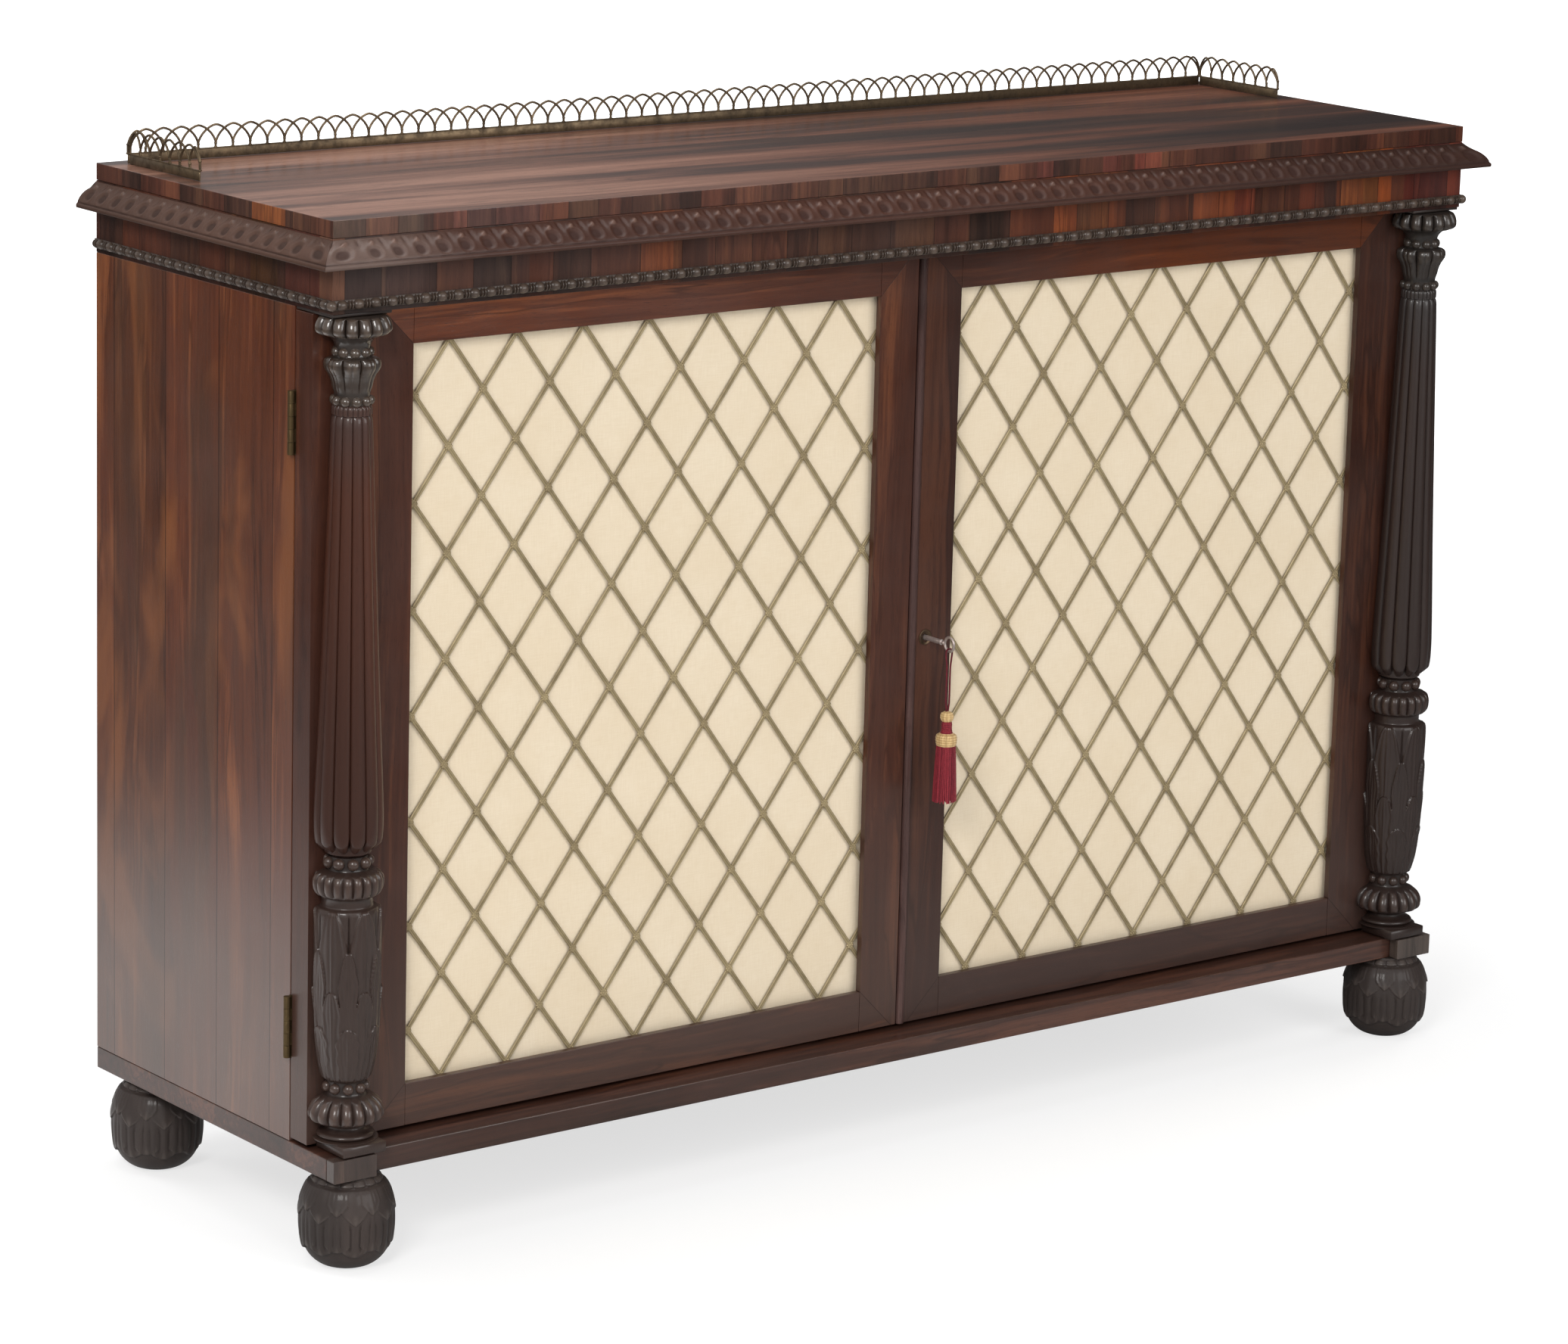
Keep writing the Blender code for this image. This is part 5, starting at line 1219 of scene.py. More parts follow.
def leaf(u, v, width, scallops=5, veins=9, thick=0.0014, rim=0.0009, rib=0.0009, tip=0.0024, root=0.10):
    """A carved leaf: u across its sector, v from root to tip. Gives its height, its cover and its worn places."""
    vv = np.clip(v, 0, 1)
    w = width * np.sin(math.pi * (root + (1 - root) * vv)) ** 0.5
    w = w * (0.80 + 0.20 * np.abs(np.sin(math.pi * vv * scallops)) ** 0.6)
    s = np.abs(u) / np.maximum(w, 1e-4)
    cover = smooth(1.05, 0.93, s) * (v <= 1.0) * (v >= -0.05)
    edge = np.exp(-(((s - 0.84) / 0.13) ** 2))
    mid = np.exp(-((u / 0.055) ** 2))
    vein = 0.5 - 0.5 * np.cos(TAU * (vv * veins - 0.9 * s))
    away = smooth(0.08, 0.30, s)
    end = smooth(0.66, 0.98, vv)
    h = thick + rim * edge + rib * mid * (1 - 0.7 * end) + 0.0008 * (vein - 0.5) * away * (1 - 0.6 * end) + tip * end * (1 - 0.5 * np.minimum(s, 1) ** 2)
    worn = np.clip(0.30 + 0.30 * edge + 0.25 * mid + 0.25 * (vein - 0.5) * away + 0.45 * end, 0, 1)
    return h * cover, cover, worn


def lay(h, worn, piece, base=0.0):
    """Lays a leaf over what is there: the higher surface shows."""
    height, cover, touched = piece
    height = height + base * cover
    over = height > h
    return np.where(over, height, h), np.where(over & (cover > 0.3), touched, worn)


COLUMN_TOP = [
    (0.0230, 0.8297), (0.0296, 0.8290), (0.0322, 0.8250), (0.0336, 0.8205), (0.0334, 0.8165), (0.0300, 0.8135),
    (0.0215, 0.8118), (0.0172, 0.8080), (0.0150, 0.8030), (0.0150, 0.7945), (0.0180, 0.7938), (0.0232, 0.7925),
    (0.0246, 0.7890), (0.0243, 0.7850), (0.0222, 0.7812), (0.0188, 0.7785), (0.0168, 0.7740), (0.0158, 0.7680), (0.0152, 0.7615),
    (0.0150, 0.7535),
]
COLUMN_SHAFT = [
    (0.0150, 0.7535), (0.0172, 0.7522), (0.0174, 0.7470), (0.0171, 0.7455), (0.0178, 0.7430), (0.0187, 0.7200),
    (0.0211, 0.6500), (0.0242, 0.5650), (0.0262, 0.5100), (0.0290, 0.4450), (0.0304, 0.4100), (0.0307, 0.3950),
    (0.0302, 0.3800), (0.0280, 0.3720), (0.0230, 0.3670), (0.0188, 0.3655), (0.0172, 0.3640), (0.0172, 0.3560),
]
COLUMN_LOW = [
    (0.0172, 0.3640), (0.0172, 0.3525), (0.0196, 0.3510), (0.0282, 0.3495), (0.0309, 0.3455), (0.0313, 0.3405), (0.0305, 0.3345),
    (0.0274, 0.3300), (0.0222, 0.3290), (0.0220, 0.3205), (0.0234, 0.3196), (0.0268, 0.3188), (0.0280, 0.3165), (0.0283, 0.3120),
    (0.0284, 0.2950), (0.0283, 0.2700), (0.0278, 0.2400), (0.0266, 0.2120), (0.0245, 0.1870), (0.0214, 0.1730),
    (0.0190, 0.1665), (0.0168, 0.1640), (0.0168, 0.1535), (0.0196, 0.1515), (0.0262, 0.1490), (0.0306, 0.1450),
    (0.0334, 0.1395), (0.0340, 0.1345), (0.0322, 0.1305), (0.0270, 0.1282), (0.0200, 0.1272), (0.0170, 0.1245), (0.0170, 0.1225),
    (0.0200, 0.1198), (0.0240, 0.1190), (0.0257, 0.1165), (0.0240, 0.1145), (0.0215, 0.1142), (0.0285, 0.1138), (0.0285, 0.1127),
]


def top_relief(r, z, th):
    r = r.copy()
    lift = np.full(r.shape, 0.55)
    # egg-shaped lobes of the capital
    u, e = lobes(th, 16)
    at = (z > 0.8120) & (z < 0.8293)
    w = smooth(0.8122, 0.8142, z) * smooth(0.8295, 0.8270, z)
    r = np.where(at, r - 0.0066 * (1 - e) * w, r)
    lift = np.where(at, 0.10 + 0.85 * e ** 1.5, lift)
    # the cove under the egg ring is painted dark: painted shade
    cove = (z <= 0.8120) & (z > 0.7942)
    lift = np.where(cove, 0.18, lift)
    # curled leaf tips, with their stalks below them
    u, e = lobes(th, 8, 0.25)
    at = (z <= 0.7942) & (z > 0.7615)
    rise = smooth(0.7770, 0.7830, z) * smooth(0.7943, 0.7915, z)
    stalk = smooth(0.7625, 0.7700, z) * (1 - smooth(0.7770, 0.7820, z))
    vein = np.exp(-((u / 0.13) ** 2))
    r = np.where(at, r - 0.0062 * (1 - e) * rise + (0.0026 * e - 0.0012) * stalk - 0.0009 * vein * (rise + 0.7 * stalk), r)
    lift = np.where(at, np.clip(0.16 + 0.74 * e ** 1.4 * rise - 0.25 * vein * (rise + stalk) + 0.50 * e ** 1.5 * stalk, 0, 1), lift)
    # the notched collar over the reeds
    u, e = lobes(th, 24)
    at = (z <= 0.7527) & (z > 0.7448)
    r = np.where(at, r - 0.0009 * (1 - e), r)
    lift = np.where(at, 0.3 + 0.5 * e, lift)
    # twelve reeds, each with a round foot
    u, e = lobes(th, 12)
    at = z <= 0.7448
    core = 0.0205 + 0 * r
    core = np.minimum(core, r * 0.90)
    end = 0.3690 + 0.0105 * (1 - e)
    foot = np.sqrt(np.clip((z - end) / 0.0070, 0, 1))
    start = np.sqrt(np.clip((0.7447 - z) / 0.0045, 0, 1))
    start = 0.45 + 0.55 * start
    reed = r * (1 - 0.125 * (1 - e))
    shaped = core + (reed - core) * foot
    shaped = np.where(z > 0.7300, r * 0.84 + (reed - r * 0.84) * start, shaped)
    r = np.where(at, np.where(z < 0.3665, np.minimum(r, shaped), shaped), r)
    lift = np.where(at, np.clip(0.24 + 0.36 * e ** 1.2 * foot, 0, 1), lift)
    lift = np.where(z < 0.3665, 0.15, lift)
    return r, lift


def low_relief(r, z, th):
    r = r.copy()
    lift = np.full(r.shape, 0.5)
    lift = np.where(z > 0.3515, 0.12, lift)
    # small lobes of the upper ring
    u, e = lobes(th, 20, 0.3)
    at = (z < 0.3512) & (z > 0.3292)
    w = smooth(0.3512, 0.3475, z) * smooth(0.3294, 0.3335, z)
    r = np.where(at, r - 0.0042 * (1 - e) * w, r)
    lift = np.where(at, 0.12 + 0.80 * e ** 1.4 * (0.4 + 0.6 * w), lift)
    at = (z <= 0.3292) & (z > 0.3197)
    lift = np.where(at, 0.45, lift)
    # leaves round the baluster: broad ones to the top, shorter ones in front with curled tips
    at = (z <= 0.3197) & (z > 0.1650)
    h = np.zeros(r.shape)
    worn = np.full(r.shape, 0.30)
    u1, _ = lobes(th, 6, 0.0)
    u2, _ = lobes(th, 6, 0.5)
    rows = (
        (u1, 0.3190, 0.97, 0.00035, 0.0010, 0.0003),
        (u2, 0.2830, 0.60, 0.0008, 0.0012, 0.0007),
        (u1, 0.2480, 0.66, 0.0012, 0.0010, 0.0010),
        (u2, 0.2150, 0.78, 0.0016, 0.0007, 0.0011),
    )
    for u, top, width, base, thick, tip in rows:
        v = (z - 0.1600) / (top - 0.1600)
        vv = np.clip(v, 0, 1)
        w = width * np.clip(1 - smooth(0.72, 1.03, vv) ** 2, 0, 1) ** 0.5 * (0.72 + 0.28 * smooth(0.0, 0.45, vv))
        w = w * (0.93 + 0.07 * np.cos(TAU * vv * 4.0))
        side = np.abs(u) / np.maximum(w, 1e-4)
        cover = smooth(1.05, 0.93, side) * (v <= 1)
        edge = np.exp(-(((side - 0.86) / 0.13) ** 2))
        mid = np.exp(-((u / 0.07) ** 2))
        furrow = 0.5 + 0.5 * np.cos(TAU * (side * 1.9 - vv * 0.9))
        end = smooth(0.74, 0.98, vv)
        height = (base + thick + 0.0005 * edge + 0.0006 * mid * (1 - end) - 0.00045 * (1 - furrow) * (1 - edge) * (1 - mid) + tip * end * (1 - 0.45 * np.minimum(side, 1) ** 2)) * cover
        touched = np.clip(0.40 + 0.16 * edge + 0.14 * mid - 0.14 * (1 - furrow) + 0.28 * end, 0, 1)
        h, worn = lay(h, worn, (height, cover, touched))
    # deep grooves where the tall leaves part near the top
    a = 1 - np.abs(u1)
    sway = 0.06 + 0.10 * smooth(0.300, 0.255, z)
    groove = np.exp(-((a / sway) ** 2)) * smooth(0.235, 0.285, z) * smooth(0.3192, 0.3120, z)
    h = h - 0.0015 * groove
    worn = worn * (1 - 0.60 * groove)
    fade = smooth(0.3197, 0.3175, z) * smooth(0.1650, 0.1680, z)
    r = np.where(at, r + (h - 0.0006) * fade, r)
    lift = np.where(at, worn, lift)
    lift = np.where((z <= 0.1650) & (z > 0.1515), 0.12, lift)
    # the big ring of eggs
    u, e = lobes(th, 17, 0.2)
    at = (z <= 0.1515) & (z > 0.1275)
    w = smooth(0.1515, 0.1465, z) * smooth(0.1276, 0.1320, z)
    r = np.where(at, r - 0.0058 * (1 - e) * w, r)
    lift = np.where(at, 0.10 + 0.85 * e ** 1.5 * (0.35 + 0.65 * w), lift)
    lift = np.where(z <= 0.1275, 0.42, lift)
    return r, lift


def column_rows(z):
    """Row height for each part of the column."""
    if z > 0.7440:
        return 0.0008
    if z > 0.3900:
        return 0.0080
    if z > 0.3500:
        return 0.0007
    if z > 0.3197:
        return 0.0009
    if z > 0.1650:
        return 0.00078
    if z > 0.1270:
        return 0.0009
    return 0.0012


def make_column(side):
    x = COLUMN_X * (1 if side == "right" else -1)
    flat = DOOR_FRONT - 0.0001
    centre = (x, COLUMN_Y, 0.0)
    upper = Shape()
    turned(upper, centre, spaced(soften(COLUMN_SHAFT, 2), column_rows), 288, top_relief, flat=flat)
    head = Shape()
    turned(head, centre, spaced(soften(COLUMN_TOP, 2), column_rows), 288, top_relief, flat=flat)
    ring_of(head, (x, COLUMN_Y), 0.0142, 0.7980, 9, 0.0047, 0.15, rows=10, cols=14, flat=flat)
    ring_of(head, (x, COLUMN_Y), 0.0153, 0.7570, 10, 0.0043, 0.0, rows=10, cols=14, flat=flat)
    lower = Shape()
    turned(lower, centre, spaced(soften(COLUMN_LOW, 2), column_rows), 264, low_relief, flat=flat)
    ring_of(lower, (x, COLUMN_Y), 0.0180, 0.3585, 9, 0.0052, 0.3, rows=10, cols=14, flat=flat)
    ring_of(lower, (x, COLUMN_Y), 0.0168, 0.1588, 9, 0.0049, 0.1, rows=10, cols=14, flat=flat)
    board(lower, (x - 0.0220, Y0 - 0.0140, 0.1036), (x + 0.0220, flat, 0.1128), 0.0009, lift=0.55)
    pieces = [
        head.object(f"{side}_column_capital_carving", capital_wood if side == "left" else capital_wood_right_shaded, 55),
        upper.object(f"{side}_column_shaft_carving", carved_z if side == "left" else carved_z_right_shaded, 55),
        lower.object(f"{side}_column_base_carving", carved_z_low if side == "left" else carved_z_right_shaded, 55),
    ]
    for made in pieces:
        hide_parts(f"{side}_column")
        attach(made, f"{side}_leaf")


make_column("left")
make_column("right")


# --------------------------------------------------------------------- the feet
FOOT = [
    (0.0262, 0.0823), (0.0275, 0.0800), (0.0300, 0.0775), (0.0300, 0.0755), (0.0322, 0.0737), (0.0352, 0.0690), (0.0377, 0.0625),
    (0.0394, 0.0530), (0.0401, 0.0420), (0.0397, 0.0300), (0.0380, 0.0200), (0.0350, 0.0122), (0.0304, 0.0064), (0.0252, 0.0024), (0.0212, 0.0007), (0.0190, 0.0),
]


def foot_relief(r, z, th):
    r = r.copy()
    lift = np.full(r.shape, 0.45)
    u, e = lobes(th, 16)
    at = (z > 0.0752) & (z < 0.0812)
    r = np.where(at, r + 0.0012 * e * smooth(0.0752, 0.0765, z) * smooth(0.0812, 0.0798, z), r)
    lift = np.where(at, 0.15 + 0.7 * e, lift)
    at = z <= 0.0752
    h = np.zeros(r.shape)
    worn = np.full(r.shape, 0.32)
    u1, _ = lobes(th, 8, 0.0)
    u2, _ = lobes(th, 8, 0.5)
    # tall leaves that hang from the neck almost to the floor
    for u, low, width, base, flutes in ((u2, 0.0205, 0.80, 0.0, 3), (u1, 0.0160, 0.88, 0.0003, 3)):
        v = (0.0790 - z) / (0.0790 - low)
        vv = np.clip(v, 0, 1)
        w = width * np.clip(1 - smooth(0.80, 1.02, vv) ** 2, 0, 1) ** 0.5
        s = np.abs(u) / np.maximum(w, 1e-4)
        cover = smooth(1.06, 0.94, s) * (v <= 1)
        flute = 0.5 + 0.5 * np.cos(math.pi * u / width * flutes)
        inner = smooth(0.45, 0.62, vv) * smooth(0.98, 0.86, vv)
        height = (0.0017 + base - 0.0009 * (1 - flute) * (0.35 + 0.65 * inner) + 0.0005 * smooth(0.8, 0.98, vv)) * cover
        touched = np.clip(0.30 + 0.34 * flute - 0.28 * (1 - flute) * inner + 0.22 * smooth(0.8, 1.0, vv), 0, 1)
        h, worn = lay(h, worn, (height, cover, touched))
    # short leaves with tips that curl out
    for u, low, width, tip in ((u1, 0.0455, 0.84, 0.0011), (u2, 0.0535, 0.66, 0.0009)):
        v = (0.0790 - z) / (0.0790 - low)
        vv = np.clip(v, 0, 1)
        w = width * np.clip(1 - smooth(0.55, 1.02, vv), 0, 1) ** 0.6
        side = np.abs(u) / np.maximum(w, 1e-4)
        cover = smooth(1.06, 0.92, side) * (v <= 1)
        furrow = 0.5 + 0.5 * np.cos(math.pi * side * 2.0)
        end = smooth(0.50, 0.95, vv)
        height = (0.0020 + 0.0004 * furrow + tip * end * (1 - 0.4 * np.minimum(side, 1) ** 2)) * cover
        touched = np.clip(0.34 + 0.16 * furrow + 0.42 * end, 0, 1)
        h, worn = lay(h, worn, (height, cover, touched))
    fade = smooth(0.0752, 0.0735, z)
    r = np.where(at, np.minimum(r + h * fade, FOOT_R + 0.0004), r)
    lift = np.where(at, worn, lift)
    lift = np.where(z < 0.004, 0.2, lift)
    return r, lift


def make_foot(name):
    lo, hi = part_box(name)
    shape = Shape()
    centre = ((lo.x + hi.x) / 2, (lo.y + hi.y) / 2, 0.0)
    turned(shape, centre, spaced(soften(FOOT, 2), 0.00075), 304, foot_relief)
    made = shape.object(f"{name}_carving", foot_wood, 55)
    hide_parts(name)
    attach(made, "case")


for name in ("foot_front_left", "foot_front_right", "foot_back_left", "foot_back_right"):
    make_foot(name)


# ------------------------------------------------------------------ the gallery
def arch_path(a, b, low, high, axis, fixed, weave):
    """Half an oval in an upright plane, from a to b along one direction."""
    t = np.linspace(0, 1, 15)
    ang = math.pi * (1 - t)
    half = (b - a) / 2
    p = 1.6
    c, s = np.cos(ang), np.sin(ang)
    x = (a + b) / 2 + half * np.sign(c) * np.abs(c) ** (2 / p)
    z = low + (high - low) * np.abs(s) ** (2 / p)
    y = np.full_like(x, fixed) + weave * np.cos(TAU * t)
    out = np.stack([x, y, z] if axis == "x" else [y, x, z], -1)
    keep = np.concatenate([[True], np.linalg.norm(np.diff(out, axis=0), axis=1) > 1e-5])
    return out[keep]


def gallery_run(name, axis, start, end, fixed, count):
    """A strip that stands on the top, upright wires, and two sets of arches that cross."""
    shape = Shape()
    base = TOP + PAD
    spring, peak, wire = base + 0.0128, base + 0.0306 - 0.0011, 0.00112
    half = 0.0008
    strip_top = base + 0.0086
    lo = (start, fixed - half, base) if axis == "x" else (fixed - half, start, base)
    hi = (end, fixed + half, strip_top) if axis == "x" else (fixed + half, end, strip_top)
    board(shape, lo, hi, 0.0003, lift=0.55)
    # a small bead along the strip's upper edge
    rail = np.array([[start, fixed, strip_top - 0.0002], [(start + end) / 2, fixed, strip_top - 0.0002], [end, fixed, strip_top - 0.0002]])
    if axis == "y":
        rail = rail[:, [1, 0, 2]]
    tube(shape, rail, 0.00095, 8, lift=0.45)
    pitch = (end - start) / count

    def spot(s, z):
        return [s, fixed, z] if axis == "x" else [fixed, s, z]

    for k in range(count + 1):
        s = start + k * pitch
        thick = 0.00118
        top = spring + (0.0040 if k in (0, count) else 0.0006)
        tube(shape, np.array([spot(s, strip_top - 0.0005), spot(s, (strip_top + top) / 2), spot(s, top)]), thick, 8, lift=0.6)
        # a collar where the upright leaves the strip, and a bud where the arches part
        ball(shape, spot(s, strip_top + 0.0006), (thick * 1.6, thick * 1.6, 0.0009), 5, 10, lift=0.6)
        ball(shape, spot(s, spring + (0.0042 if k in (0, count) else 0.0)), (wire * 1.35, wire * 1.35, 0.0012), 6, 10, lift=0.6)
    for k in range(0, count + 1):
        a, b = max(0, k - 1), min(count, k + 1)
        if k in (0, count):
            continue
        sign = 1 if k % 2 else -1
        tube(shape, arch_path(start + a * pitch, start + b * pitch, spring, peak, axis, fixed, sign * 0.0002), wire, 7, lift=0.75)
    for k in (0, count):
        a = start + (0 if k == 0 else (count - 1)) * pitch
        path = arch_path(a, a + pitch, spring + 0.0030, peak - 0.0010, axis, fixed, 0.0)
        tube(shape, path, wire * 0.95, 7, lift=0.5)
    made = shape.object(f"{name}_wirework", gallery_brass, 45)
    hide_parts(name)
    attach(made, "case")


def make_gallery():
    lo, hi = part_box("gallery_back")
    y = (lo.y + hi.y) / 2
    gallery_run("gallery_back", "x", lo.x + 0.0002, hi.x - 0.0002, y, 70)
    for side in ("left", "right"):
        lo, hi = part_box(f"gallery_{side}")
        gallery_run(f"gallery_{side}", "y", lo.y + 0.0012, hi.y - 0.0016, (lo.x + hi.x) / 2, 7)


make_gallery()


# ------------------------------------------------------- grilles and the cloth
def strip_bar(shape, a, b, front, width, thick, lift=0.6):
    """A flat reeded bar in the door's plane, from a to b (x, z)."""
    a, b = np.array(a), np.array(b)
    along = b - a
    length = np.linalg.norm(along)
    if length < 0.002:
        return
    along /= length
    side = np.array([-along[1], along[0]])
    section = np.array([(-1.0, 0.0), (-1.0, 0.45), (-0.72, 0.90), (-0.42, 1.0), (-0.12, 0.66), (0.12, 0.66), (0.42, 1.0), (0.72, 0.90), (1.0, 0.45), (1.0, 0.0)])
    worn = np.array([0.1, 0.35, 0.8, 0.9, 0.15, 0.15, 0.9, 0.8, 0.35, 0.1])
    stations = max(2, int(length / 0.02))
    points, lifts = [], []
    for k in range(stations):
        p = a + along * length * k / (stations - 1)
        xz = p[None, :] + side[None, :] * section[:, :1] * width / 2
        y = front + thick * (1 - section[:, 1])
        points.append(np.stack([xz[:, 0], y, xz[:, 1]], -1))
        lifts.append(worn)
    points = np.array(points)
    rows, cols = points.shape[:2]
    points = points.reshape(-1, 3)
    n = rows * cols
    i = np.arange(cols)
    k = (i + 1) % cols
    last = (rows - 1) * cols
    shape.add(
        np.vstack([points, points[:cols].mean(0)[None], points[last:].mean(0)[None]]),
        [grid_faces(rows, cols, wrap=True), np.stack([i, k, np.full(cols, n)], -1), np.stack([last + k, last + i, np.full(cols, n + 1)], -1)],
        0,
        np.concatenate([np.concatenate(lifts), [0.3, 0.3]]),
    )


def rosette(shape, x, z, front, radius, thick):
    """A little round flower of eight petals with a button in the middle."""
    rings = np.array([(0.0, 1.0), (0.12, 0.98), (0.24, 0.86), (0.30, 0.55), (0.36, 0.62), (0.50, 0.86), (0.68, 0.92), (0.84, 0.72), (0.96, 0.40), (1.0, 0.0)])
    sides = 32
    th = np.arange(sides) / sides * TAU
    e = np.abs(np.cos(4 * th))
    points, lifts = [], []
    for r, h in rings[1:]:
        petal = smooth(0.30, 0.55, np.full(sides, r))
        rr = r * radius * (1 - 0.13 * petal * (1 - e))
        hh = h - 0.42 * petal * (1 - e) * (r < 0.99)
        points.append(np.stack([x + rr * np.cos(th), front + thick * (1 - np.clip(hh, 0, 1)), z + rr * np.sin(th)], -1))
        lifts.append(np.clip(0.15 + 0.8 * hh - 0.3 * petal * (1 - e), 0, 1))
    rows = len(points)
    points = np.array(points).reshape(-1, 3)
    n = rows * sides
    i = np.arange(sides)
    k = (i + 1) % sides
    last = (rows - 1) * sides
    shape.add(
        np.vstack([points, [[x, front, z]], [[x, front + thick, z]]]),
        [grid_faces(rows, sides, wrap=True), np.stack([i, k, np.full(sides, n)], -1), np.stack([last + k, last + i, np.full(sides, n + 1)], -1)],
        0,
        np.concatenate([np.array(lifts).ravel(), [0.95, 0.1]]),
    )


def clip_line(point, step, lo, hi):
    """The part of a line inside a rectangle, or nothing."""
    t0, t1 = -1e9, 1e9
    for p, d, a, b in zip(point, step, lo, hi):
        u, v = (a - p) / d, (b - p) / d
        t0, t1 = max(t0, min(u, v)), min(t1, max(u, v))
    if t1 - t0 <= 0:
        return None
    return [p + d * t0 for p, d in zip(point, step)], [p + d * t1 for p, d in zip(point, step)]


def make_grille(side):
    lo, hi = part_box(f"{side}_grille")
    # the crossings lie evenly about the middle of each opening
    first, top = (-0.5068, NODE_TOP) if side == "left" else (0.0888, NODE_TOP + 0.0035)
    a, b = (lo.x + 0.0004, lo.z + 0.0004), (hi.x - 0.0004, hi.z - 0.0004)
    shape = Shape()
    front = lo.y + 0.0001
    count = 0
    for m in range(-20, 30):
        # bars that fall to the right stand in front of those that rise
        for slope, y, thick in ((-1, front + 0.0003, 0.0010), (1, front + 0.0011, 0.0010)):
            point = (first + 2 * m * NODE_X, top)
            cut = clip_line(point, (NODE_X, slope * NODE_Z), a, b)
            if cut:
                strip_bar(shape, cut[0], cut[1], y, 0.0040, thick)
                count += 1
    for i in range(-1, 18):
        for j in range(-1, 18):
            if (i + j) % 2:
                continue
            x, z = first + i * NODE_X, top - j * NODE_Z
            if a[0] + 0.004 < x < b[0] - 0.004 and a[1] + 0.004 < z < b[1] - 0.004:
                rosette(shape, x, z, front, 0.0042, 0.0013)
    made = shape.object(f"{side}_grille_lattice", grille_brass, 40)
    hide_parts(f"{side}_grille")
    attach(made, f"{side}_leaf")


def make_cloth(side):
    lo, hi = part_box(f"{side}_cloth_panel")
    wide, tall = hi.x - lo.x - 0.0006, hi.z - lo.z - 0.0006
    rows, cols = 72, 56
    v, u = np.meshgrid(np.linspace(0, 1, rows), np.linspace(0, 1, cols), indexing="ij")
    x = lo.x + 0.0003 + wide * u
    z = lo.z + 0.0003 + tall * v
    # drawn tight, with faint puckers that run in from the tacks
    edge = np.minimum(np.minimum(u, 1 - u) * wide, np.minimum(v, 1 - v) * tall)
    pucker = np.sin(z * TAU / 0.045) * np.exp(-np.minimum(u, 1 - u) * wide / 0.018) + np.sin(x * TAU / 0.045) * np.exp(-np.minimum(v, 1 - v) * tall / 0.018)
    slack = np.sin(x * 31.0 + z * 9.0 + 0.4) * 0.5 + np.sin(z * 23.0 - x * 7.0) * 0.5
    y = lo.y + 0.0010 + 0.00018 * pucker + 0.00022 * slack * smooth(0, 0.03, edge)
    outer = np.stack([x, y, z], -1).reshape(-1, 3)
    inner = np.stack([x, y + 0.0006, z], -1).reshape(-1, 3)
    n = rows * cols
    ring = np.concatenate([np.arange(cols), np.arange(1, rows) * cols + cols - 1, (rows - 1) * cols + np.arange(cols - 2, -1, -1), np.arange(rows - 2, 0, -1) * cols])
    nxt = np.roll(ring, -1)
    shape = Shape()
    shape.add(
        np.vstack([outer, inner]),
        [grid_faces(rows, cols), grid_faces(rows, cols, flip=True, offset=n), np.stack([ring, nxt, nxt + n, ring + n], -1)],
        0,
        0.5,
    )
    cloth = shape.object(f"{side}_cloth", cream, 60)
    # the thin inner frame that the cloth is tacked to
    frame_shape = Shape()
    y0, y1, w = lo.y + 0.0020, hi.y - 0.0001, 0.0150
    board(frame_shape, (lo.x + 0.0002, y0, lo.z + 0.0002), (lo.x + w, y1, hi.z - 0.0002), 0.0006)
    board(frame_shape, (hi.x - w, y0, lo.z + 0.0002), (hi.x - 0.0002, y1, hi.z - 0.0002), 0.0006)
    board(frame_shape, (lo.x + w + 0.0001, y0, lo.z + 0.0002), (hi.x - w - 0.0001, y1, lo.z + w), 0.0006)
    board(frame_shape, (lo.x + w + 0.0001, y0, hi.z - w), (hi.x - w - 0.0001, y1, hi.z - 0.0002), 0.0006)
    inner_frame = frame_shape.object(f"{side}_cloth_frame", pine_z, 30)
    tacks = Shape()
    spots = [(x, z) for x in np.arange(lo.x + 0.03, hi.x - 0.02, 0.045) for z in (lo.z + w / 2, hi.z - w / 2)]
    spots += [(x, z) for z in np.arange(lo.z + 0.03, hi.z - 0.02, 0.045) for x in (lo.x + w / 2, hi.x - w / 2)]
    for x, z in spots:
        ball(tacks, (x, y1 - 0.0001, z), (0.0021, 0.0008, 0.0021), 6, 10, lift=0.7)
    nails = tacks.object(f"{side}_cloth_tacks", iron, 50)
    for made in (cloth, inner_frame, nails):
        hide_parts(f"{side}_cloth_panel")
        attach(made, f"{side}_leaf")


for side in ("left", "right"):
    make_grille(side)
    make_cloth(side)


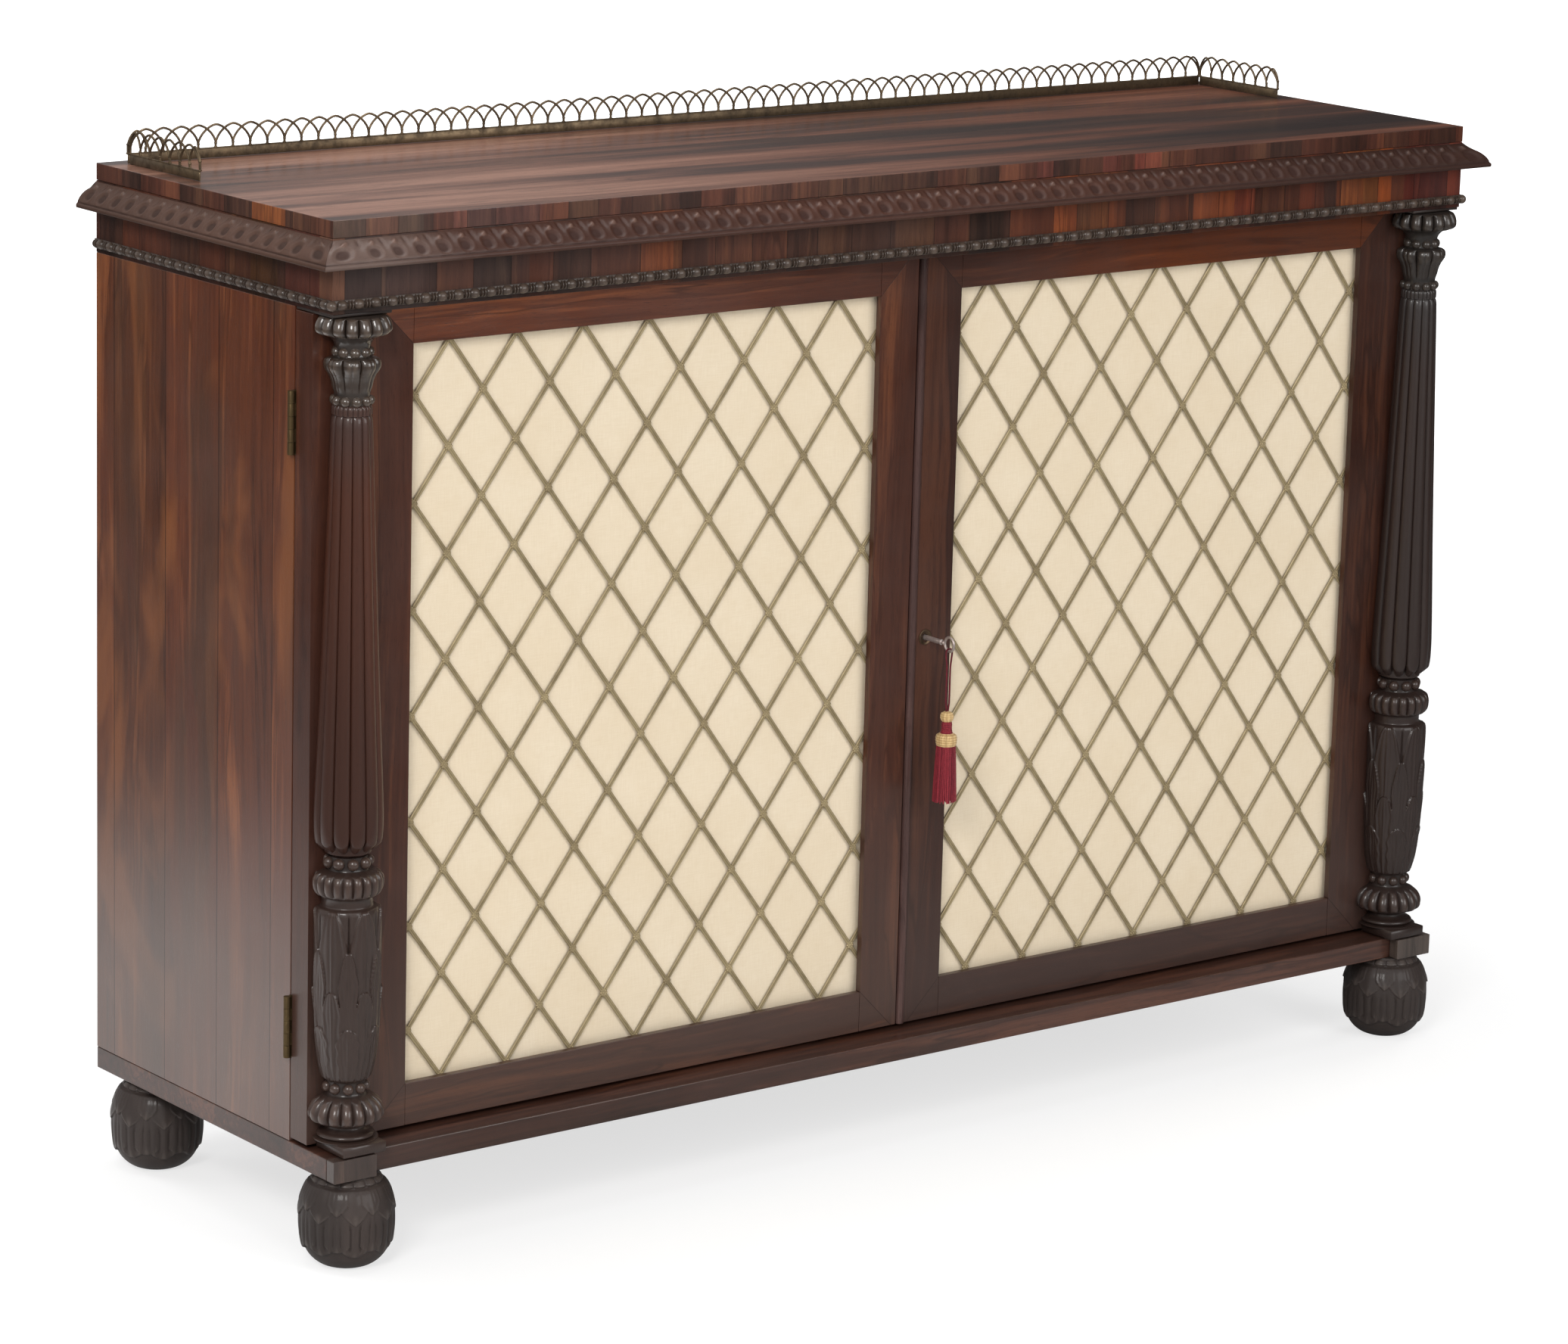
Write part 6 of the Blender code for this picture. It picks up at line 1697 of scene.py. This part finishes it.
# --------------------------------------------------------- lock, key, fittings
def make_key():
    shape = Shape()
    c = np.array([KEY_X, BOW_Y, KEY_Z])
    th = np.arange(40) / 40 * TAU
    ring = np.stack([np.full(40, c[0]), c[1] + BOW_R * np.cos(th), c[2] + BOW_R * np.sin(th)], -1)
    tube(shape, ring, BOW_WIRE, 12, closed=True, lift=0.8)
    start = BOW_Y + BOW_R - 0.0004
    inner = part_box("key")[1].y
    # turned collars behind the bow, then the plain shank and its pin end
    profile = [(0.0, 0.0), (0.0012, 0.0002), (0.0021, 0.0012), (0.0021, 0.0026), (0.0014, 0.0034), (0.0014, 0.0042), (0.0026, 0.0050), (0.0027, 0.0062), (0.0016, 0.0072), (0.0018, 0.0085), (0.0023, 0.0100), (0.0023, inner - start - 0.0012), (0.0017, inner - start - 0.0003), (0.0, inner - start)]
    line = spaced(np.array(profile), 0.004)
    sides = 20
    a = np.arange(sides) / sides * TAU
    r = np.maximum(line[:, 0], 0.00002)[:, None]
    y = start + line[:, 1][:, None] + 0 * a[None, :]
    points = np.stack([c[0] + r * np.cos(a)[None, :], y, c[2] + r * np.sin(a)[None, :]], -1)
    rows = len(line)
    n = rows * sides
    i = np.arange(sides)
    k = (i + 1) % sides
    last = (rows - 1) * sides
    flatpts = points.reshape(-1, 3)
    shape.add(
        np.vstack([flatpts, flatpts[:sides].mean(0)[None], flatpts[last:].mean(0)[None]]),
        [grid_faces(rows, sides, wrap=True), np.stack([i, k, np.full(sides, n)], -1), np.stack([last + k, last + i, np.full(sides, n + 1)], -1)],
        0,
        0.7,
    )
    # the bit, with a slot for the ward
    lo, hi = Y0 + 0.0463, Y0 + 0.0523
    for a0, a1, z0 in ((lo, lo + 0.0022, 0.0064), (lo + 0.0022, lo + 0.0036, 0.0040), (lo + 0.0036, hi, 0.0064)):
        board(shape, (c[0] - 0.0011, a0, c[2] - z0), (c[0] + 0.0011, a1 - 0.00002, c[2] - 0.0012), 0.0002, lift=0.6)
    made = shape.object("key_with_bow", steel, 50)
    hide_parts("key")
    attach(made, "turning_key")


def make_escutcheon():
    """A raised rim round a plate with a keyhole."""
    shape = Shape()
    back = DOOR_FRONT - 0.0001
    c = (KEY_X, KEY_Z)
    outer = [(0.0072, 0.0), (0.0072, 0.0006), (0.0066, 0.0011), (0.0057, 0.0009), (0.0052, 0.0005)]
    sides = 64
    th = np.arange(sides) / sides * TAU
    # keyhole: a round hole with a slot below it
    hole = []
    for t in th:
        x, z = math.cos(t), math.sin(t)
        r = 0.0031
        if z < -0.6:
            r = min(0.0058, 0.0013 / max(abs(x), 1e-6)) if abs(x) > 0.2 else 0.0058
            r = max(r, 0.0031)
            r = min(r, 0.0047)
        hole.append(r)
    hole = np.array(hole)
    rings = []
    for r, h in outer:
        rings.append(np.stack([c[0] + r * np.cos(th), np.full(sides, back - h), c[1] + r * np.sin(th)], -1))
    rings.append(np.stack([c[0] + hole * np.cos(th), np.full(sides, back - 0.0005), c[1] + hole * np.sin(th)], -1))
    rings.append(np.stack([c[0] + hole * np.cos(th), np.full(sides, back), c[1] + hole * np.sin(th)], -1))
    points = np.array(rings)
    rows = len(points)
    loop = grid_faces(rows + 1, sides, wrap=True) % (rows * sides)
    shape.add(points.reshape(-1, 3), [loop], 0, np.repeat([0.3, 0.7, 0.9, 0.7, 0.35, 0.3, 0.2], sides))
    for a in (0.35, math.pi - 0.35):
        ball(shape, (c[0] + 0.0042 * math.cos(a), back - 0.0005, c[1] + 0.0042 * math.sin(a)), (0.0006, 0.0003, 0.0006), 6, 10, lift=0.5)
    made = shape.object("escutcheon_rim", dark_brass, 40)
    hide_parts("escutcheon")
    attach(made, "right_leaf")


make_key()
make_escutcheon()


def screw_head(shape, where, facing, radius=0.0029, turn=0.4):
    """A countersunk head, flush in its plate, with its slot cut across."""
    f = Vector(facing).normalized()
    a = f.orthogonal().normalized()
    b = f.cross(a)
    ca, sa = math.cos(turn), math.sin(turn)
    a, b = a * ca + b * sa, b * ca - a * sa
    where = Vector(where)
    slot = radius * 0.16
    raised, sunk = 0.00025, -0.00035
    for sign in (1, -1):
        outline = []
        limit = math.asin(slot / radius)
        for k in range(13):
            t = limit + (math.pi - 2 * limit) * k / 12
            outline.append((radius * math.cos(t), sign * radius * math.sin(t)))
        low = [where + a * x + b * y + f * sunk for x, y in outline]
        high = [where + a * x * 0.94 + b * (y * 0.94 if abs(y) > slot * 1.05 else y) + f * raised for x, y in outline]
        m = len(outline)
        i = np.arange(m)
        k = (i + 1) % m
        c0, c1 = 2 * m, 2 * m + 1
        points = [list(p) for p in low + high]
        centre = np.array(points[:m]).mean(0)
        top = np.array(points[m:]).mean(0)
        shape.add(
            np.vstack([points, centre[None], top[None]]),
            [np.stack([i, k, k + m, i + m], -1), np.stack([k, i, np.full(m, c0)], -1), np.stack([i + m, k + m, np.full(m, c1)], -1)],
            0,
            np.concatenate([np.full(m, 0.2), np.full(m, 0.8), [0.2, 0.8]]),
        )


def make_screws():
    for side, sign in (("left", -1), ("right", 1)):
        doors, cases = Shape(), Shape()
        for height in ("upper", "lower"):
            lo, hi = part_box(f"{side}_{height}_case_leaf")
            middle = (lo.z + hi.z) / 2
            for k in (-1, 0, 1):
                x = sign * (0.6362 if k else 0.6440)
                z = middle + k * 0.0185
                screw_head(cases, (x, Y0 + 0.0565, z), (0, -1, 0), turn=0.5 + k)
                screw_head(doors, (x, Y0 + 0.0560, z), (0, 1, 0), turn=0.9 + k * 0.7)
        if side == "right":
            lo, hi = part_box("lock_case")
            for x in (lo.x + 0.005, hi.x - 0.004):
                for z in (lo.z + 0.005, hi.z - 0.005):
                    screw_head(doors, (x, hi.y, z), (0, 1, 0), 0.0022, turn=x * 90)
        for word, shape, body in ((f"{side}_door_screws", doors, f"{side}_leaf"), (f"{side}_case_screws", cases, "case")):
            made = shape.object(word, iron if "case" in word else fitting_brass, 30)
            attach(made, body)


make_screws()


# --------------------------------------------------------------------- the back
def make_back():
    """Upright pine boards with chamfered joints, nailed along the top and bottom."""
    lo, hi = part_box("back_panel")
    shape, nails = Shape(), Shape()
    board(shape, (lo.x, lo.y, lo.z), (hi.x, lo.y + 0.0040, hi.z), 0.0004, lift=0.4, tone=0.5)
    widths = np.array([0.152, 0.131, 0.147, 0.160, 0.128, 0.139, 0.155, 0.124, 0.143])
    widths = widths / widths.sum() * (hi.x - lo.x)
    x = lo.x
    for k, w in enumerate(widths):
        board(shape, (x + 0.0006, lo.y + 0.0042, lo.z), (x + w - 0.0006, hi.y - 0.0002, hi.z), 0.0011, lift=0.6, tone=0.1 + 0.8 * ((k * 37) % 10) / 10)
        for z in (lo.z + 0.012, hi.z - 0.016, 0.463):
            for q in (0.22, 0.78):
                ball(nails, (x + w * q + 0.002 * math.sin(k * 7.0 + z * 50), hi.y - 0.0002, z + 0.0012 * math.sin(k * 5.0 + q * 9)), (0.0019, 0.0003, 0.0019), 6, 10, lift=0.6)
        x += w
    made = shape.object("back_boards", pine_back, 30)
    heads = nails.object("back_nails", iron, 50)
    for piece in (made, heads):
        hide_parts("back_panel")
        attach(piece, "case")


def back_material():
    """Sooty pine boards, each of its own tone."""
    n = Nodes("pine_back_boards")
    p = n.place()
    tone = n.value("tone")
    q = grain_place(n, p, "z")
    q = n.vec("ADD", q, n.join(n.math("MULTIPLY", tone, 7.0), n.math("MULTIPLY", tone, 13.0), 0.0))
    bend = n.noise(n.vec("MULTIPLY", q, (2.0, 7.0, 7.0)), 1.0, 2.0, 0.5)
    shift = n.math("MULTIPLY", n.math("SUBTRACT", bend, 0.5), 0.06)
    q2 = n.vec("ADD", q, n.join(0.0, shift, shift))
    rings = n.math("PINGPONG", n.math("MULTIPLY", n.noise(n.vec("MULTIPLY", q2, (0.6, 9.0, 9.0)), 1.0, 2.0, 0.4, 0.2), 18.0), 1.0)
    fibre = n.noise(n.vec("MULTIPLY", q2, (14.0, 420.0, 420.0)), 1.0, 3.0, 0.6)
    f = n.math("ADD", n.math("ADD", n.math("MULTIPLY", rings, 0.55), n.math("MULTIPLY", fibre, 0.45)), n.math("MULTIPLY", n.math("SUBTRACT", tone, 0.5), 0.25))
    base = n.ramp(f, [(0.12, (0.125, 0.058, 0.026)), (0.5, (0.215, 0.108, 0.050)), (0.95, (0.300, 0.165, 0.082))])
    stain = n.noise(n.vec("MULTIPLY", p, (3.2, 3.2, 5.0)), 1.0, 5.0, 0.65)
    base = n.mix(n.span(stain, 0.40, 0.74, 0.0, 0.55), base, (0.085, 0.045, 0.025))
    low = n.math("ADD", n.math("MULTIPLY", rings, 0.5), fibre)
    return n.finish(base, n.span(fibre, 0.2, 0.8, 0.78, 0.62), n.bump(low, 0.0003, 0.6), specular=0.1)


pine_back = back_material()
make_back()


# -------------------------------------------------------------------- the last update
bpy.context.view_layer.update()
